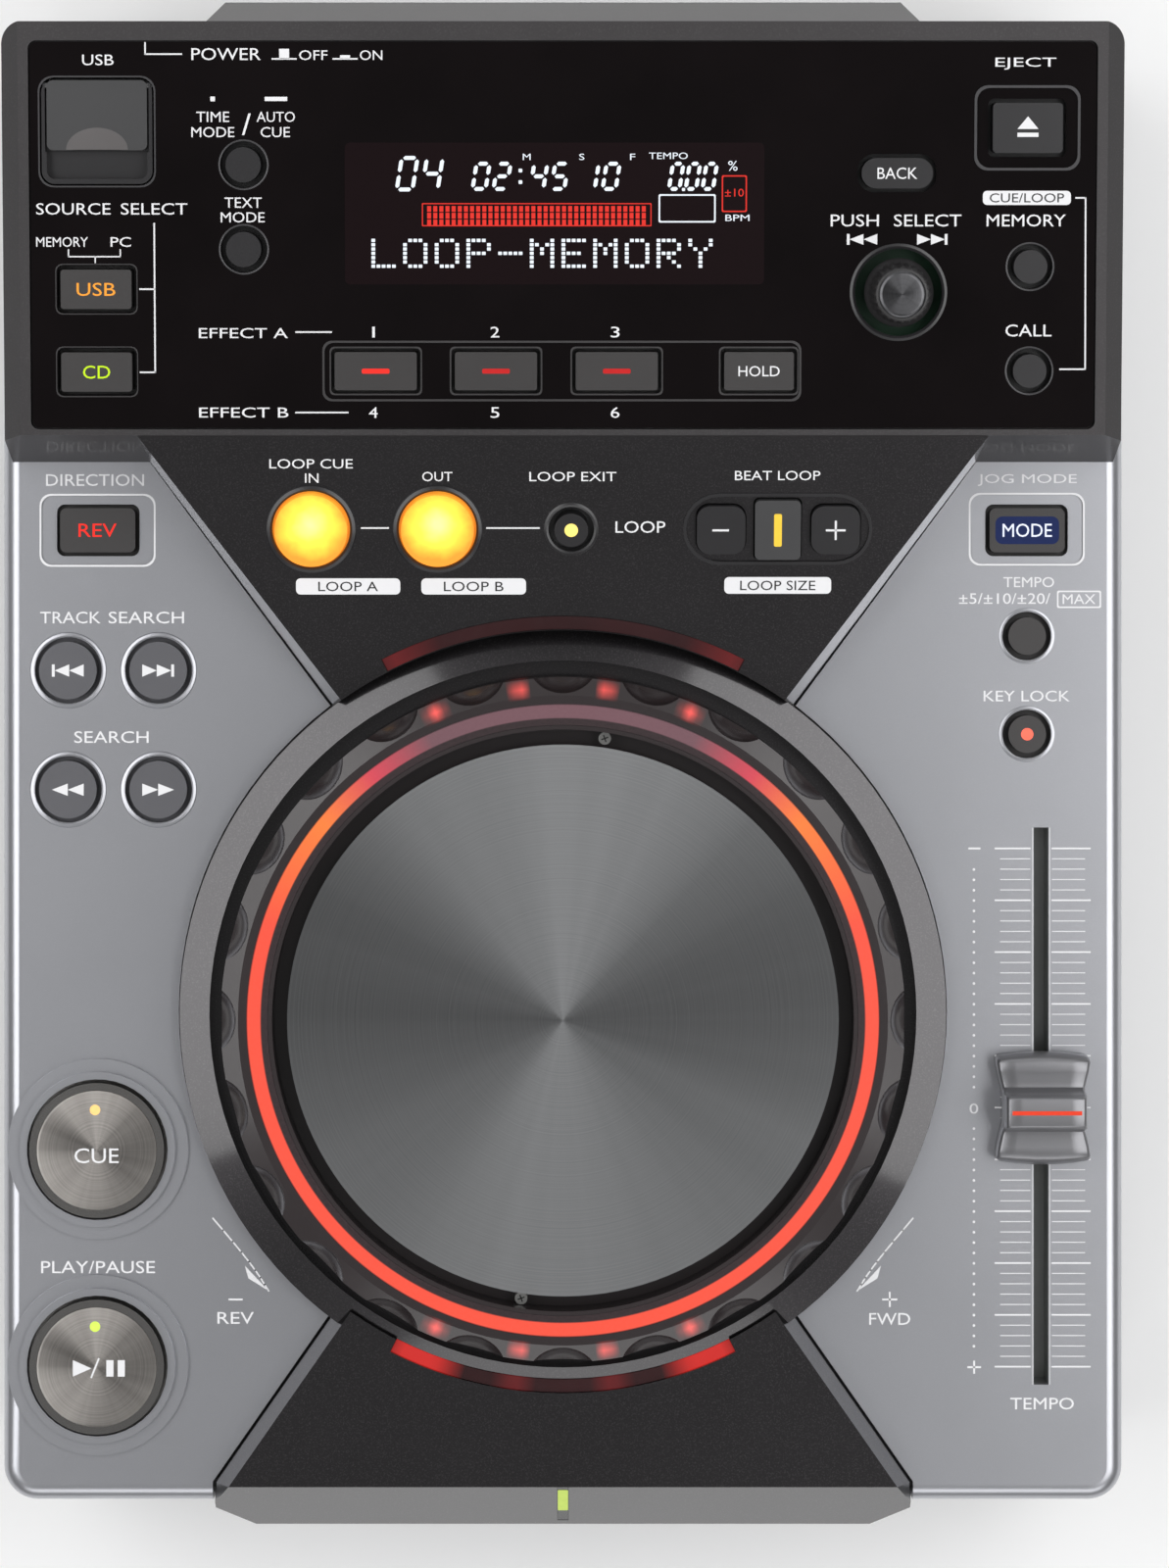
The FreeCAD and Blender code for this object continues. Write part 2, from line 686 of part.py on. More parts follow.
def arc_band(radius, width, half_angle, low, high, heading):
    """Part of a ring about the jog axis, centred on a heading in degrees."""
    start = heading - half_angle
    centre = FreeCAD.Vector(0, size("jog_y"), low)
    outer = Part.makeCylinder(radius + width, high - low, centre, FreeCAD.Vector(0, 0, 1), 2 * half_angle)
    inner = Part.makeCylinder(radius, high - low, centre, FreeCAD.Vector(0, 0, 1), 2 * half_angle)
    band = outer.cut(inner)
    band.rotate(centre, FreeCAD.Vector(0, 0, 1), start)
    return band


def arc_pair(grow, low_rear, high_rear, low_front, high_front):
    width = size("arc_width")
    angle = size("arc_half_angle")
    rear = arc_band(size("arc_rear_radius") - grow, width + 2 * grow, angle + grow, low_rear, high_rear, 90)
    front = arc_band(size("arc_front_radius") - grow, width + 2 * grow, angle + grow, low_front, high_front, 270)
    return [rear, front]


# Black centre frame: the sloping funnel, the ring round the jog wheel and the nose over the disc slot
top_z = size("deck_height") + size("frame_rise")
lens_low = top_z - size("arc_depth")
frame_block = solid("centre_frame_block", centre_frame_shape())
lens_cuts = solid("arc_lens_cuts", Part.makeCompound(arc_pair(0.1, lens_low, top_z + 10, lens_low, top_z + 6)))
lamp_y = "(nose_fold_y - nose_front) / 2"
lamp_low = "slot_high + 4"
lamp_height = "deck_height + frame_rise - slot_high"
lamp_cut = box("lamp_cut", "lamp_width + 2 * running_fit", "nose_front + nose_fold_y + 2 * running_fit", lamp_height, "0",
               lamp_y, lamp_low)
block_cut = plate("loop_block_cut", "loop_block_length + 2 * part_fit", "loop_block_width + 2 * part_fit",
                  "board_depth", "1.0", "loop_block_x", "loop_v", "-wall - 1", "funnel")
pill_recess = plate("loop_pill_recess", "loop_pill_length", "loop_pill_width", "5", "loop_pill_width / 2 - 0.1",
                    "loop_block_x", "loop_v", "-0.4", "funnel")
node("centre_frame", cut("centre_frame", frame_block, lens_cuts, lamp_cut, block_cut, pill_recess, *wells["funnel"]))

rear_lens = arc_band(size("arc_rear_radius"), size("arc_width"), size("arc_half_angle"), lens_low, top_z + 10, 90)
rear_lens = rear_lens.common(funnel_solid(0.0, size("deck_height"), 0.4))
front_lens = arc_band(size("arc_front_radius"), size("arc_width"), size("arc_half_angle"), lens_low, top_z - 0.6, 270)
node("arc_lenses", solid("arc_lenses", Part.makeCompound([rear_lens, front_lens])))

# Green lamp on the slanted face of the nose, and the lit block between the loop minus and plus keys
lamp_slice = box("lamp_slice", "lamp_width", "nose_front + nose_fold_y", f"{lamp_height} - part_fit", "0", lamp_y,
                 f"{lamp_low} + part_fit")
lamp_limit = solid("lamp_limit", nose_solid(0.0, 0.0).cut(nose_solid(size("wall"), 0.0)))
front_lamp = doc.addObject("Part::Common", "front_lamp")
front_lamp.Base = lamp_slice
front_lamp.Tool = lamp_limit
loop_block = plate("loop_block", "loop_block_length", "loop_block_width", "wall + 1.2", "1.0", "loop_block_x", "loop_v",
                   "-wall", "funnel")
node("light_windows", group("light_windows", front_lamp, loop_block))

# Felt lips of the disc slot, two strips inside the nose
lip_depth = "1.2"
lip_y = "-nose_front + wall + 0.6"
lips = [box(f"slot_lip_{name}", "2 * slot_half - 10", lip_depth, "1.4", "0", lip_y, w)
        for name, w in (("upper", "slot_high - 0.1"), ("lower", "slot_low - 1.3"))]
node("slot_brush", group("slot_brush", *lips))


# Silver case: one moulding with rolled upper edges, open below, with holes for all that comes through the deck
shell = doc.addObject("PartDesign::Body", "case_shell")
outer = local(shell.newObject("PartDesign::AdditiveBox", "case_outer"), Length="case_width",
              Width="case_front + case_rear", Height="deck_height - seam_height",
              at=("-case_width / 2", "-case_front", "seam_height"))
corners = shell.newObject("PartDesign::Fillet", "case_corners")
corners.Base = (outer, ["Edge1", "Edge3", "Edge5", "Edge7"])
bind(corners, Radius="corner_radius")
doc.recompute()
top_edges = [f"Edge{number}" for number, edge in enumerate(corners.Shape.Edges, start=1)
             if all(abs(vertex.Z - size("deck_height")) < 0.001 for vertex in edge.Vertexes)]
roll = shell.newObject("PartDesign::Fillet", "case_roll")
roll.Base = (corners, top_edges)
bind(roll, Radius="edge_roll")
room = plate("case_room", "case_width - 2 * wall", "case_front + case_rear - 2 * wall",
             "deck_height - wall - seam_height + 1", "corner_radius - wall", "0", "(case_rear - case_front) / 2",
             "seam_height - 1", "table")
throat_cut = solid("throat_cut", outline_prism(size("seam_gap"), size("deck_height") - 8.0, size("deck_height") + 1.0))
nose_cut = box("nose_cut", "2 * nose_half + 2 * part_fit", "2 * (case_front + nose_fold_y)",
               "deck_height - nose_chin_height + 1 + part_fit", "0", "-case_front", "nose_chin_height - part_fit")
hood_cut = box("hood_cut", "2 * hood_half - 14", "hood_rear - hood_foot_y - 14", "20", "0",
               "(hood_rear + hood_foot_y) / 2", "-10", "deck")
rear_cut = box("rear_cut", "rear_panel_width", "20", "rear_panel_top - seam_height + 1", "0", "case_rear",
               "seam_height - 1")
fader_cut = box("fader_cut", "fader_slot_width", "fader_slot_length", "20", "fader_x", "fader_y", "-10", "deck")
rims = [plate(f"{name}_rim", "mode_rim_length", "mode_rim_width", "5", "1.9", x, "reverse_y", "-0.4", "deck")
        for name, x in (("reverse", "left_x"), ("jog_mode", "right_x"))]
collars = []
for name, y in (("cue", "cue_y"), ("play", "play_y")):
    collars.append(rod(f"{name}_boss", "transport_boss", "boss_rise + wall", "left_x", y, "-wall", "deck"))
    collars.append(rod(f"{name}_collar", "transport_collar", "collar_rise + wall", "left_x", y, "-wall", "deck"))
posts = []
post_bores = []
POSTS = [(side, y) for side in (-1, 1) for y in ("-case_front + 10", "30", "case_rear - 20")]
for number, (side, y) in enumerate(POSTS, start=1):
    x = f"{side} * (case_width / 2 - 2.2 - post_radius)"
    floor = "foot_height + pan_wall"
    posts.append(rod(f"post_{number}", "post_radius", f"deck_height - wall + 0.5 - ({floor})", x, y, floor))
    post_bores.append(rod(f"post_bore_{number}", "case_screw_radius + running_fit", "case_screw_length + 2", x, y, floor))
hollow_case = cut("hollow_case", shell, room)
full_case = fuse("full_case", hollow_case, *collars, *posts)
node("upper_case", cut("upper_case", full_case, throat_cut, nose_cut, hood_cut, rear_cut, fader_cut, *rims, *wells["deck"],
                       *post_bores))


# Display hood: a wedge-shaped cover over the rear third, with a sloping visor over the sockets
def hood_shape():
    deck = size("deck_height")
    wall = size("wall")
    half = size("hood_half")
    rail = size("rail_height")
    run = (size("hood_rear") - size("hood_front")) / math.cos(math.radians(size("hood_tilt")))
    profile = [(size("hood_foot_y"), deck), hood_point(-0.5, rail), hood_point(run + 0.1, rail), (size("hood_rear"), deck)]
    outer = face_of([(-half, y, z) for y, z in profile]).extrude(FreeCAD.Vector(2 * half, 0, 0))
    crest = [edge for edge in outer.Edges
             if abs(abs(edge.CenterOfMass.x) - half) < 0.01 and edge.CenterOfMass.z > deck + size("hood_rise")
             and abs(edge.Vertexes[0].Y - edge.Vertexes[1].Y) > 20]
    outer = outer.makeChamfer(size("hood_bevel"), crest)
    plan = Part.makeBox(2 * half, size("hood_rear") - size("hood_foot_y"), 60,
                        FreeCAD.Vector(-half, size("hood_foot_y"), deck - 10))
    upright = [edge for edge in plan.Edges if edge.CenterOfMass.y > size("hood_rear") - 0.01
               and abs(edge.Vertexes[0].Z - edge.Vertexes[1].Z) > 1]
    outer = outer.common(plan.makeFillet(size("hood_corner"), upright))
    top_y, top_z = hood_point(run - 1.2, 0.0)
    rear = size("visor_rear")
    visor = face_of([(-size("visor_half"), top_y, top_z), (-size("visor_half"), rear, top_z - size("visor_drop")),
                     (-size("visor_half"), rear, top_z - size("visor_drop") - 3),
                     (-size("visor_half"), top_y, top_z - size("visor_drop") - 6)])
    ends = face_of([(-size("visor_half"), size("hood_rear") - 8, deck - 10), (size("visor_half"), size("hood_rear") - 8, deck - 10),
                    (size("visor_half"), size("hood_rear"), deck - 10), (size("visor_rear_half"), rear, deck - 10),
                    (-size("visor_rear_half"), rear, deck - 10), (-size("visor_half"), size("hood_rear"), deck - 10)])
    visor = visor.extrude(FreeCAD.Vector(2 * size("visor_half"), 0, 0)).common(ends.extrude(FreeCAD.Vector(0, 0, 60)))
    outer = outer.fuse(visor)
    ceiling = -size("window_thickness") - wall
    inner = [(size("hood_foot_y") + wall, deck - 1), hood_point(wall + 0.5, ceiling), hood_point(run - wall, ceiling),
             (size("hood_rear") - wall, deck - 1)]
    room = face_of([(-half + wall, y, z) for y, z in inner]).extrude(FreeCAD.Vector(2 * (half - wall), 0, 0))
    return outer.cut(room)


window_v = "(window_start + window_end) / 2"
window_width = "window_end - window_start"
hood_block = solid("hood_block", hood_shape())
window_seat = plate("window_seat", "2 * window_half", window_width, "5", "window_corner", "0", window_v,
                    "-window_thickness", "hood")
display_hole = box("display_hole", "display_width + 2 * part_fit", "display_depth + 2 * part_fit", "wall + 4", "display_x",
                   "display_v", "-window_thickness - wall - 2", "hood")
select_hole = rod("select_hole", "select_well", "20", "select_x", "select_v", "-10", "hood")
usb_well = plate("usb_well", "well_length", "well_width", "20", "2.5", "lid_x", "well_v", "-10", "hood")
node("display_hood", cut("display_hood", hood_block, window_seat, display_hole, select_hole, usb_well, *wells["hood"]))

# Gloss black fascia sheet, let into the hood
sheet_block = plate("fascia_sheet", "2 * window_half - 2 * part_fit", f"{window_width} - 2 * part_fit",
                    "window_thickness", "window_corner", "0", window_v, "-window_thickness", "hood")
strip_recess = plate("strip_recess", "strip_length", "strip_width", "5", "1.5", "-0.2", "effect_v", "-strip_depth", "hood")
eject_recess = plate("eject_recess", "eject_rim_length", "eject_rim_width", "5", "2.6", "eject_x", "eject_v", "-0.5", "hood")
node("display_window", cut("display_window", sheet_block, strip_recess, eject_recess, select_hole, usb_well, *wells["hood"]))

# Lit display under the fascia: a bezelled block on its own small board
display_block = box("display_block", "display_width", "display_depth", "display_thickness", "display_x", "display_v",
                    "-window_thickness - display_thickness", "hood")
node("display_module", display_block)


# Select knob: a push shaft in its encoder, and a faceted crown that turns on the shaft
shaft_body = doc.addObject("PartDesign::Body", "select_shaft_body")
disc(shaft_body, "select_rod", "select_shaft_radius", "board_depth - switch_height + select_height - 5",
     "-board_depth + switch_height + select_travel + part_fit")
disc(shaft_body, "select_shoulder", "select_skirt - 1", "1.2", "-3.2")
node("select_shaft", place(shaft_body, "select_x", "select_v", "0", "hood"))
crown = doc.addObject("PartDesign::Body", "select_crown_body")
disc(crown, "select_knob_skirt", "select_skirt", "3.0", "select_travel")
disc(crown, "select_knob_crown", "select_crown", "select_height - select_travel", "select_travel")
place(crown, "select_x", "select_v", "0", "hood")
crown_bore = rod("select_knob_bore", "select_shaft_radius + running_fit", "select_height - 2.5", "select_x", "select_v",
                 "-1", "hood")
node("select_knob", cut("select_knob", crown, crown_bore))
key_sites.append(("select", "hood", "select_x", "select_v"))

# USB socket: a steel shell in a block at the foot of the well, facing up under the lid
port_v = "well_v + 1"
socket_floor = "-well_depth - port_depth"
well_tray = plate("well_tray", "well_length - 2 * part_fit", "well_width - 2 * part_fit", "well_depth", "2.5", "lid_x",
                  "well_v", "-well_depth", "hood")
well_space = plate("well_space", "well_length - 2.4", "well_width - 2.4", "20", "1.6", "lid_x", "well_v",
                   "-well_depth + 1", "hood")
socket_block = box("socket_block", "port_length + 2 * port_shell", "port_width + 2 * port_shell", "port_depth + 1",
                   "lid_x", port_v, f"{socket_floor}", "hood")
port_hole = box("port_hole", "port_length", "port_width", "port_depth + 20", "lid_x", port_v, f"{socket_floor} + 1", "hood")
lid_gap_cut = box("lid_seat", "lid_length + 2 * key_play", "lid_width + 2 * key_play", "10", "lid_x", "lid_v",
                  "-lid_thickness - 2 * key_play - 0.3", "hood")
pin_v = "lid_v + lid_width / 2 - lid_pin_set_back"
pin_y, pin_z = on_level(pin_v, "-lid_thickness / 2", "hood")
pin_bore = lying_rod("lid_pin_bore", "lid_pin_radius + running_fit", "well_length", "lid_x - well_length / 2", pin_y, pin_z, "X")
node("usb_socket", cut("usb_socket", fuse("usb_socket_block", well_tray, socket_block), well_space, port_hole, lid_gap_cut,
                       pin_bore))

# Smoky lid over the socket, hinged along its rear edge, with a finger scoop at its front edge
lid_sheet = plate("usb_lid_sheet", "lid_length", "lid_width", "lid_thickness", "1.2", "lid_x", "lid_v",
                  "-lid_thickness", "hood")
scoop = rod("usb_lid_scoop", "6.2", "5", "lid_x", "lid_v - lid_width / 2 - 4.2", "-2", "hood")
lid_pin = lying_rod("lid_pin", "lid_pin_radius", "lid_length + 1.4", "lid_x - lid_length / 2 - 0.7", pin_y, pin_z, "X")
node("usb_lid", fuse("usb_lid", cut("usb_lid_plate", lid_sheet, scoop), lid_pin))


# Tempo fader: slide pot under the deck, lever through the slot, knob above
fader_top = "deck_height - wall"
fader_case = box("fader_case", "fader_body_width", "fader_slot_length + 12", "fader_body_height", "fader_x", "fader_y",
                 f"{fader_top} - fader_body_height")
fader_gap = box("fader_gap", "fader_slot_width", "fader_slot_length", "fader_body_height", "fader_x", "fader_y",
                f"{fader_top} - fader_body_height + 2")
node("fader_unit", cut("fader_unit", fader_case, fader_gap))
knob = doc.addObject("PartDesign::Body", "tempo_knob_body")
slab(knob, "tempo_base", "fader_knob_length", "fader_knob_width", "fader_knob_height * 0.45", "fader_knob_lift", "2.5")
slab(knob, "tempo_block", "fader_knob_length * 0.85", "6.6", "fader_knob_height - fader_knob_lift", "fader_knob_lift", "0.8")
local(knob.newObject("PartDesign::AdditiveBox", "tempo_lever"), Length="fader_lever", Width="6",
      Height="wall + 5 + fader_knob_lift + 1", at=("-fader_lever / 2", "-3", "-wall - 5"))
node("tempo_knob", place(knob, "fader_x", "fader_y", "0", "deck"))


# Jog wheel, built up from the fixed base: spindle, dial with its light ring, touch plate on top
jog_y = "jog_y"
base_top = "deck_height - base_drop"
base_disc = rod("jog_base_disc", "ring_bore + wall - 0.4", "2", "0", jog_y, f"{base_top} - 2")
spindle = rod("jog_spindle", "spindle_radius", "dial_top - web_drop + web_thickness", "0", jog_y, f"{base_top} - 1")
node("jog_base", fuse("jog_base", base_disc, spindle))
dial_low = "deck_height + dial_lift"
dial_high = "deck_height + dial_top"
rim_shoulder = bind(doc.addObject("Part::Cone", "dial_rim_slope"), Radius1="dial_radius", Radius2="dial_radius - rim_slope_width",
                    Height="rim_slope")
rim = fuse("dial_rim_block", rod("dial_rim", "dial_radius", "dial_top - dial_lift - rim_slope", "0", jog_y, dial_low),
           place(rim_shoulder, "0", jog_y, f"{dial_high} - rim_slope"))
bowl = rod("dial_bowl", "dial_bore", "dial_top", "0", jog_y, "deck_height + dial_top - web_drop")
under = cut("dial_under", rod("dial_under_disc", "dial_radius - wall", "dial_top - web_drop - web_thickness - dial_lift + 1",
                              "0", jog_y, f"{dial_low} - 1"),
            rod("dial_hub", "spindle_radius + 4", "dial_top", "0", jog_y, f"{dial_low} - 2"))
dial_hole = rod("dial_hole", "spindle_radius + running_fit", "dial_top + 10", "0", jog_y, "deck_height")
ring_seat = cut("ring_seat", rod("ring_seat_outer", "ring_light_outer", "ring_light_depth + 1", "0", jog_y,
                                 f"{dial_high} - ring_light_depth"),
                rod("ring_seat_inner", "dial_bore + 0.8", "ring_light_depth + 5", "0", jog_y, f"{dial_high} - ring_light_depth"))
dimples = []
for number in range(int(size("dimple_count"))):
    dimple = bind(doc.addObject("Part::Sphere", f"dimple_{number + 1}"), Radius="dimple_radius")
    heading = f"{number} * 360 / dimple_count + 90"
    reach = "(dial_radius + dimple_reach)"
    place(dimple, f"{reach} * cos({heading})", f"jog_y + {reach} * sin({heading})",
          f"{dial_high} + dimple_rise")
    dimples.append(dimple)
node("jog_dial", cut("jog_dial", rim, bowl, under, dial_hole, ring_seat, *dimples))
light_disc = rod("jog_light_outer", "ring_light_outer - running_fit", "ring_light_depth - running_fit", "0", jog_y,
                 f"{dial_high} - ring_light_depth")
light_hole = rod("jog_light_inner", "dial_bore + 0.8 + running_fit", "20", "0", jog_y, f"{dial_high} - ring_light_depth - 5")
node("jog_light_ring", cut("jog_light_ring", light_disc, light_hole))
plate_low = f"{dial_high} - plate_thickness"
plate_disc = rod("jog_plate_disc", "plate_radius", "plate_thickness", "0", jog_y, plate_low)
plate_boss = rod("jog_plate_boss", "spindle_radius + 3",
                 "web_drop - plate_thickness - key_play - plate_travel + 0.5", "0", jog_y,
                 "deck_height + dial_top - web_drop + key_play + plate_travel")
plate_bore = rod("jog_plate_bore", "spindle_radius + key_play", "web_drop - plate_thickness", "0", jog_y,
                 "deck_height + dial_top - web_drop")
node("jog_plate", cut("jog_plate", fuse("jog_plate_block", plate_disc, plate_boss), plate_bore))
jog_screws = []
for number, heading in enumerate(("81.5", "261.5"), start=1):
    x = f"jog_screw_circle * cos({heading})"
    y = f"jog_y + jog_screw_circle * sin({heading})"
    jog_screws.append(rod(f"jog_screw_{number}", "jog_screw_radius", "3.5", x, y, "deck_height + dial_top - web_drop"))
node("jog_screws", group("jog_screws", *jog_screws))


# Disc drive: a folded chassis on four legs with motor, guide rods and roller cheeks
drive_y = "(drive_front + drive_rear) / 2"
drive_plate = box("drive_plate_block", "2 * drive_half", "drive_rear - drive_front", "drive_plate", "0", drive_y, "drive_floor")
drive_parts = [drive_plate]
for number, (side, y) in enumerate([(s, y) for s in (-1, 1) for y in ("drive_front + 6", "drive_rear - 6")], start=1):
    drive_parts.append(rod(f"drive_leg_{number}", "drive_leg_radius", "drive_floor - foot_height - pan_wall",
                           f"{side} * (drive_half - 6)", y, "foot_height + pan_wall"))
for side in (-1, 1):
    name = "left" if side < 0 else "right"
    drive_parts.append(box(f"drive_rail_{name}", "1.5", "drive_rear - drive_front", "slot_high - drive_floor + 1",
                           f"{side} * (drive_half - 0.75)", drive_y, "drive_floor"))
    drive_parts.append(box(f"roller_cheek_{name}", "3", "10", "slot_low - drive_floor - 1",
                           f"{side} * (roller_length / 2 + 2)", "roller_y + 2", "drive_floor"))
    drive_parts.append(box(f"cheek_foot_{name}", "3", "16", "drive_plate", f"{side} * (roller_length / 2 + 2)",
                           "roller_y + 5", "drive_floor"))
    for end, y in (("front", "rod_front"), ("rear", "rod_rear")):
        drive_parts.append(box(f"rod_block_{name}_{end}", "6", "4", "rod_z + 3 - drive_floor", f"{side} * rod_x", y,
                               "drive_floor"))
for end, y in (("front", "rod_front"), ("rear", "rod_rear")):
    drive_parts.append(box(f"screw_block_{end}", "6", "4", "rod_z + 3 - drive_floor", "screw_x", y, "drive_floor"))
motor = rod("spindle_motor", "motor_radius", "motor_height", "0", jog_y, "drive_floor + drive_plate")
guide_rods = [lying_rod(f"guide_rod_{number}", "rod_radius", "rod_rear - rod_front", f"{side} * rod_x", "rod_front",
                        "rod_z", "Y") for number, side in enumerate((-1, 1), start=1)]
drive_holes = [rod("motor_bore", "shaft_radius + running_fit", "motor_height + 5", "0", jog_y, "drive_floor + 3"),
               lying_rod("roller_bore", "shaft_radius + running_fit", "roller_length + 40", "-roller_length / 2 - 20",
                         "roller_y", "slot_low - roller_radius - 0.3", "X"),
               lying_rod("screw_bore", "screw_radius + running_fit", "rod_rear - rod_front + 20", "screw_x",
                         "rod_front - 10", "rod_z", "Y")]
drive_body = cut("drive_body", fuse("drive_block", *drive_parts, motor), *drive_holes)
node("drive_chassis", fuse("drive_chassis", drive_body, *guide_rods))
table_shaft = rod("turntable_shaft", "shaft_radius", "disc_low - drive_floor - 6", "0", jog_y, "drive_floor + 5")
platter = rod("turntable_platter", "platter_radius", "platter_thickness", "0", jog_y, "disc_low - platter_thickness")
hub = rod("turntable_hub", "hub_radius", "hub_height + 0.5", "0", jog_y, "disc_low - 0.5")
node("turntable", fuse("turntable", table_shaft, platter, hub))
sled_block = box("sled_block", "sled_length", "sled_width", "sled_height", "0", "sled_y", "rod_z - sled_height / 2")
lens = rod("sled_lens", "lens_radius", "3", "0", "sled_y", "rod_z + sled_height / 2 - 0.5")
nut = box("sled_nut", "14", "6", "sled_height", "screw_x - 4", "sled_y", "rod_z - sled_height / 2")
sled_bores = [lying_rod(f"sled_bore_{number}", "rod_radius + running_fit", "200", x, "rod_front - 60", "rod_z", "Y")
              for number, x in enumerate(("-rod_x", "rod_x", "screw_x"), start=1)]
node("pickup_sled", cut("pickup_sled", fuse("sled_solid", sled_block, lens, nut), *sled_bores))
node("lead_screw", lying_rod("lead_screw", "screw_radius", "rod_rear - rod_front + 4", "screw_x", "rod_front - 2", "rod_z", "Y"))
roller_z = "slot_low - roller_radius - 0.3"
roller_drum = lying_rod("roller_drum", "roller_radius", "roller_length", "-roller_length / 2", "roller_y", roller_z, "X")
roller_axle = lying_rod("roller_axle", "shaft_radius", "roller_length + 8", "-roller_length / 2 - 4", "roller_y", roller_z, "X")
node("loading_roller", fuse("loading_roller", roller_drum, roller_axle))


# Boards: main board on the pan, key boards a fixed depth under the panels with one switch below each key
board_w = "-board_depth - board_thickness"
switches = [box(f"{name}_switch", "switch_side", "switch_side", "switch_height", u, v, "-board_depth", level)
            for name, level, u, v in key_sites]
hood_board = box("hood_board_sheet", "2 * window_half - 8", "66", "board_thickness", "0", "36", board_w, "hood")
port_clear = box("port_clear", "well_length + 1", "well_width + 4", "20", "lid_x", "well_v + 1", "-25", "hood")
funnel_board = box("funnel_board", "2 * funnel_head_half - 36.8", "18", "board_thickness", "0", "loop_v", board_w, "funnel")
left_board = box("left_board", "26", "182", "board_thickness", "left_x + 3.9", "-36", board_w, "deck")
right_board = box("right_board", "20", "54", "board_thickness", "right_x - 1", "29", board_w, "deck")
key_board_parts = fuse("key_board_parts", hood_board, funnel_board, left_board, right_board, *switches)
node("key_boards", cut("key_boards", key_board_parts, port_clear))
main_sheet = box("main_sheet", "main_board_length", "main_board_width", "board_thickness", "main_board_x", "main_board_y",
                 "main_board_z")
chips = [box(f"chip_{number}", "chip_side", "chip_side", "2.2", f"main_board_x + {x} * main_board_length",
             f"main_board_y + {y} * main_board_width", "main_board_z + board_thickness")
         for number, (x, y) in enumerate(((-0.13, 0.09), (0.13, -0.09), (-0.3, -0.27), (0.27, 0.27)), start=1)]
node("main_board", fuse("main_board", main_sheet, *chips))
supply_sheet = box("supply_sheet", "supply_length", "supply_width", "board_thickness", "supply_x", "supply_y", "main_board_z")
supply_parts = [box("transformer", "supply_length / 3", "26", "24", "supply_x - supply_length / 4", "supply_y - 4",
                    "main_board_z + board_thickness"),
                rod("reservoir_1", "7", "22", "supply_x + 9", "supply_y - 12", "main_board_z + board_thickness"),
                rod("reservoir_2", "7", "22", "supply_x + 27", "supply_y - 12", "main_board_z + board_thickness"),
                box("heat_sink", "30", "6", "22", "supply_x + 15", "supply_y + 12", "main_board_z + board_thickness")]
node("power_supply", fuse("power_supply", supply_sheet, *supply_parts))


# Base pan with the recessed rear panel standing on it, feet below, screws from below into the posts
pan_outer = plate("pan_outer", "case_width", "case_front + case_rear", "seam_height - foot_height", "corner_radius", "0",
                  "(case_rear - case_front) / 2", "foot_height", "table")
pan_room = plate("pan_room", "case_width - 2 * pan_wall", "case_front + case_rear - 2 * pan_wall", "30",
                 "corner_radius - pan_wall", "0", "(case_rear - case_front) / 2", "foot_height + pan_wall", "table")
panel_y = "case_rear - rear_recess"
rear_panel = box("rear_panel", "rear_panel_width - 2 * part_fit", "rear_plate", "rear_panel_top - foot_height - pan_wall",
                 "0", f"{panel_y} - rear_plate / 2", "foot_height + pan_wall - 0.5")
stands = [rod(f"stand_{number}", "2.5", "main_board_z - foot_height - pan_wall + 0.5", x, y, "foot_height + pan_wall - 0.5")
          for number, (x, y) in enumerate([(f"{board}_x + {i} * ({board_size}_length / 2 - stand_inset)",
                                            f"{board}_y + {j} * ({board_size}_width / 2 - stand_inset)")
                                           for board, board_size in (("main_board", "main_board"), ("supply", "supply"))
                                           for i in (-1, 1) for j in (-1, 1)], start=1)]
row_z = "rear_row_height"
sockets_cut = [box("power_hole", "power_button_side + 2 * key_play", "20", "power_button_side + 2 * key_play",
                   "power_button_x", panel_y, f"{row_z} - power_button_side / 2 - key_play"),
               box("mains_hole", "mains_width + 4 + 2 * part_fit", "20", "mains_height + 4 + 2 * part_fit", "mains_x", panel_y,
                   f"{row_z} - mains_height / 2 - 2 - part_fit"),
               box("line_hole", "line_out_pitch + 14 + 2 * part_fit", "20", "13 + 2 * part_fit", "line_out_x", panel_y,
                   f"{row_z} - 6.5 - part_fit"),
               box("square_usb_hole", "square_usb_side + 3 + 2 * part_fit", "20", "square_usb_side + 3 + 2 * part_fit",
                   "square_usb_x", panel_y, f"{row_z} - square_usb_side / 2 - 1.5 - part_fit")]
screw_holes = [rod(f"pan_hole_{number}", "case_screw_radius + part_fit", "20", f"{side} * (case_width / 2 - 2.2 - post_radius)",
                   y, "0") for number, (side, y) in enumerate(POSTS, start=1)]
head_seats = [rod(f"pan_seat_{number}", "case_screw_radius * 2 + part_fit", "1", f"{side} * (case_width / 2 - 2.2 - post_radius)",
                  y, "foot_height - 0.2") for number, (side, y) in enumerate(POSTS, start=1)]
pan_hollow = cut("pan_hollow", pan_outer, pan_room)
rear_gap = box("pan_rear_gap", "rear_panel_width", "20", "30", "0", "case_rear", "foot_height + pan_wall")
pan_open = cut("pan_open", pan_hollow, rear_gap)
node("base_pan", cut("base_pan", fuse("pan_full", pan_open, rear_panel, *stands), *sockets_cut, *screw_holes, *head_seats))
feet = [rod(f"foot_{number}", "foot_radius", "foot_height", f"{side} * (case_width / 2 - foot_inset_x)", y, "0")
        for number, (side, y) in enumerate([(s, y) for s in (-1, 1) for y in ("-case_front + foot_inset_y",
                                                                             "case_rear - foot_inset_y")], start=1)]
node("rubber_feet", group("rubber_feet", *feet))
screws = []
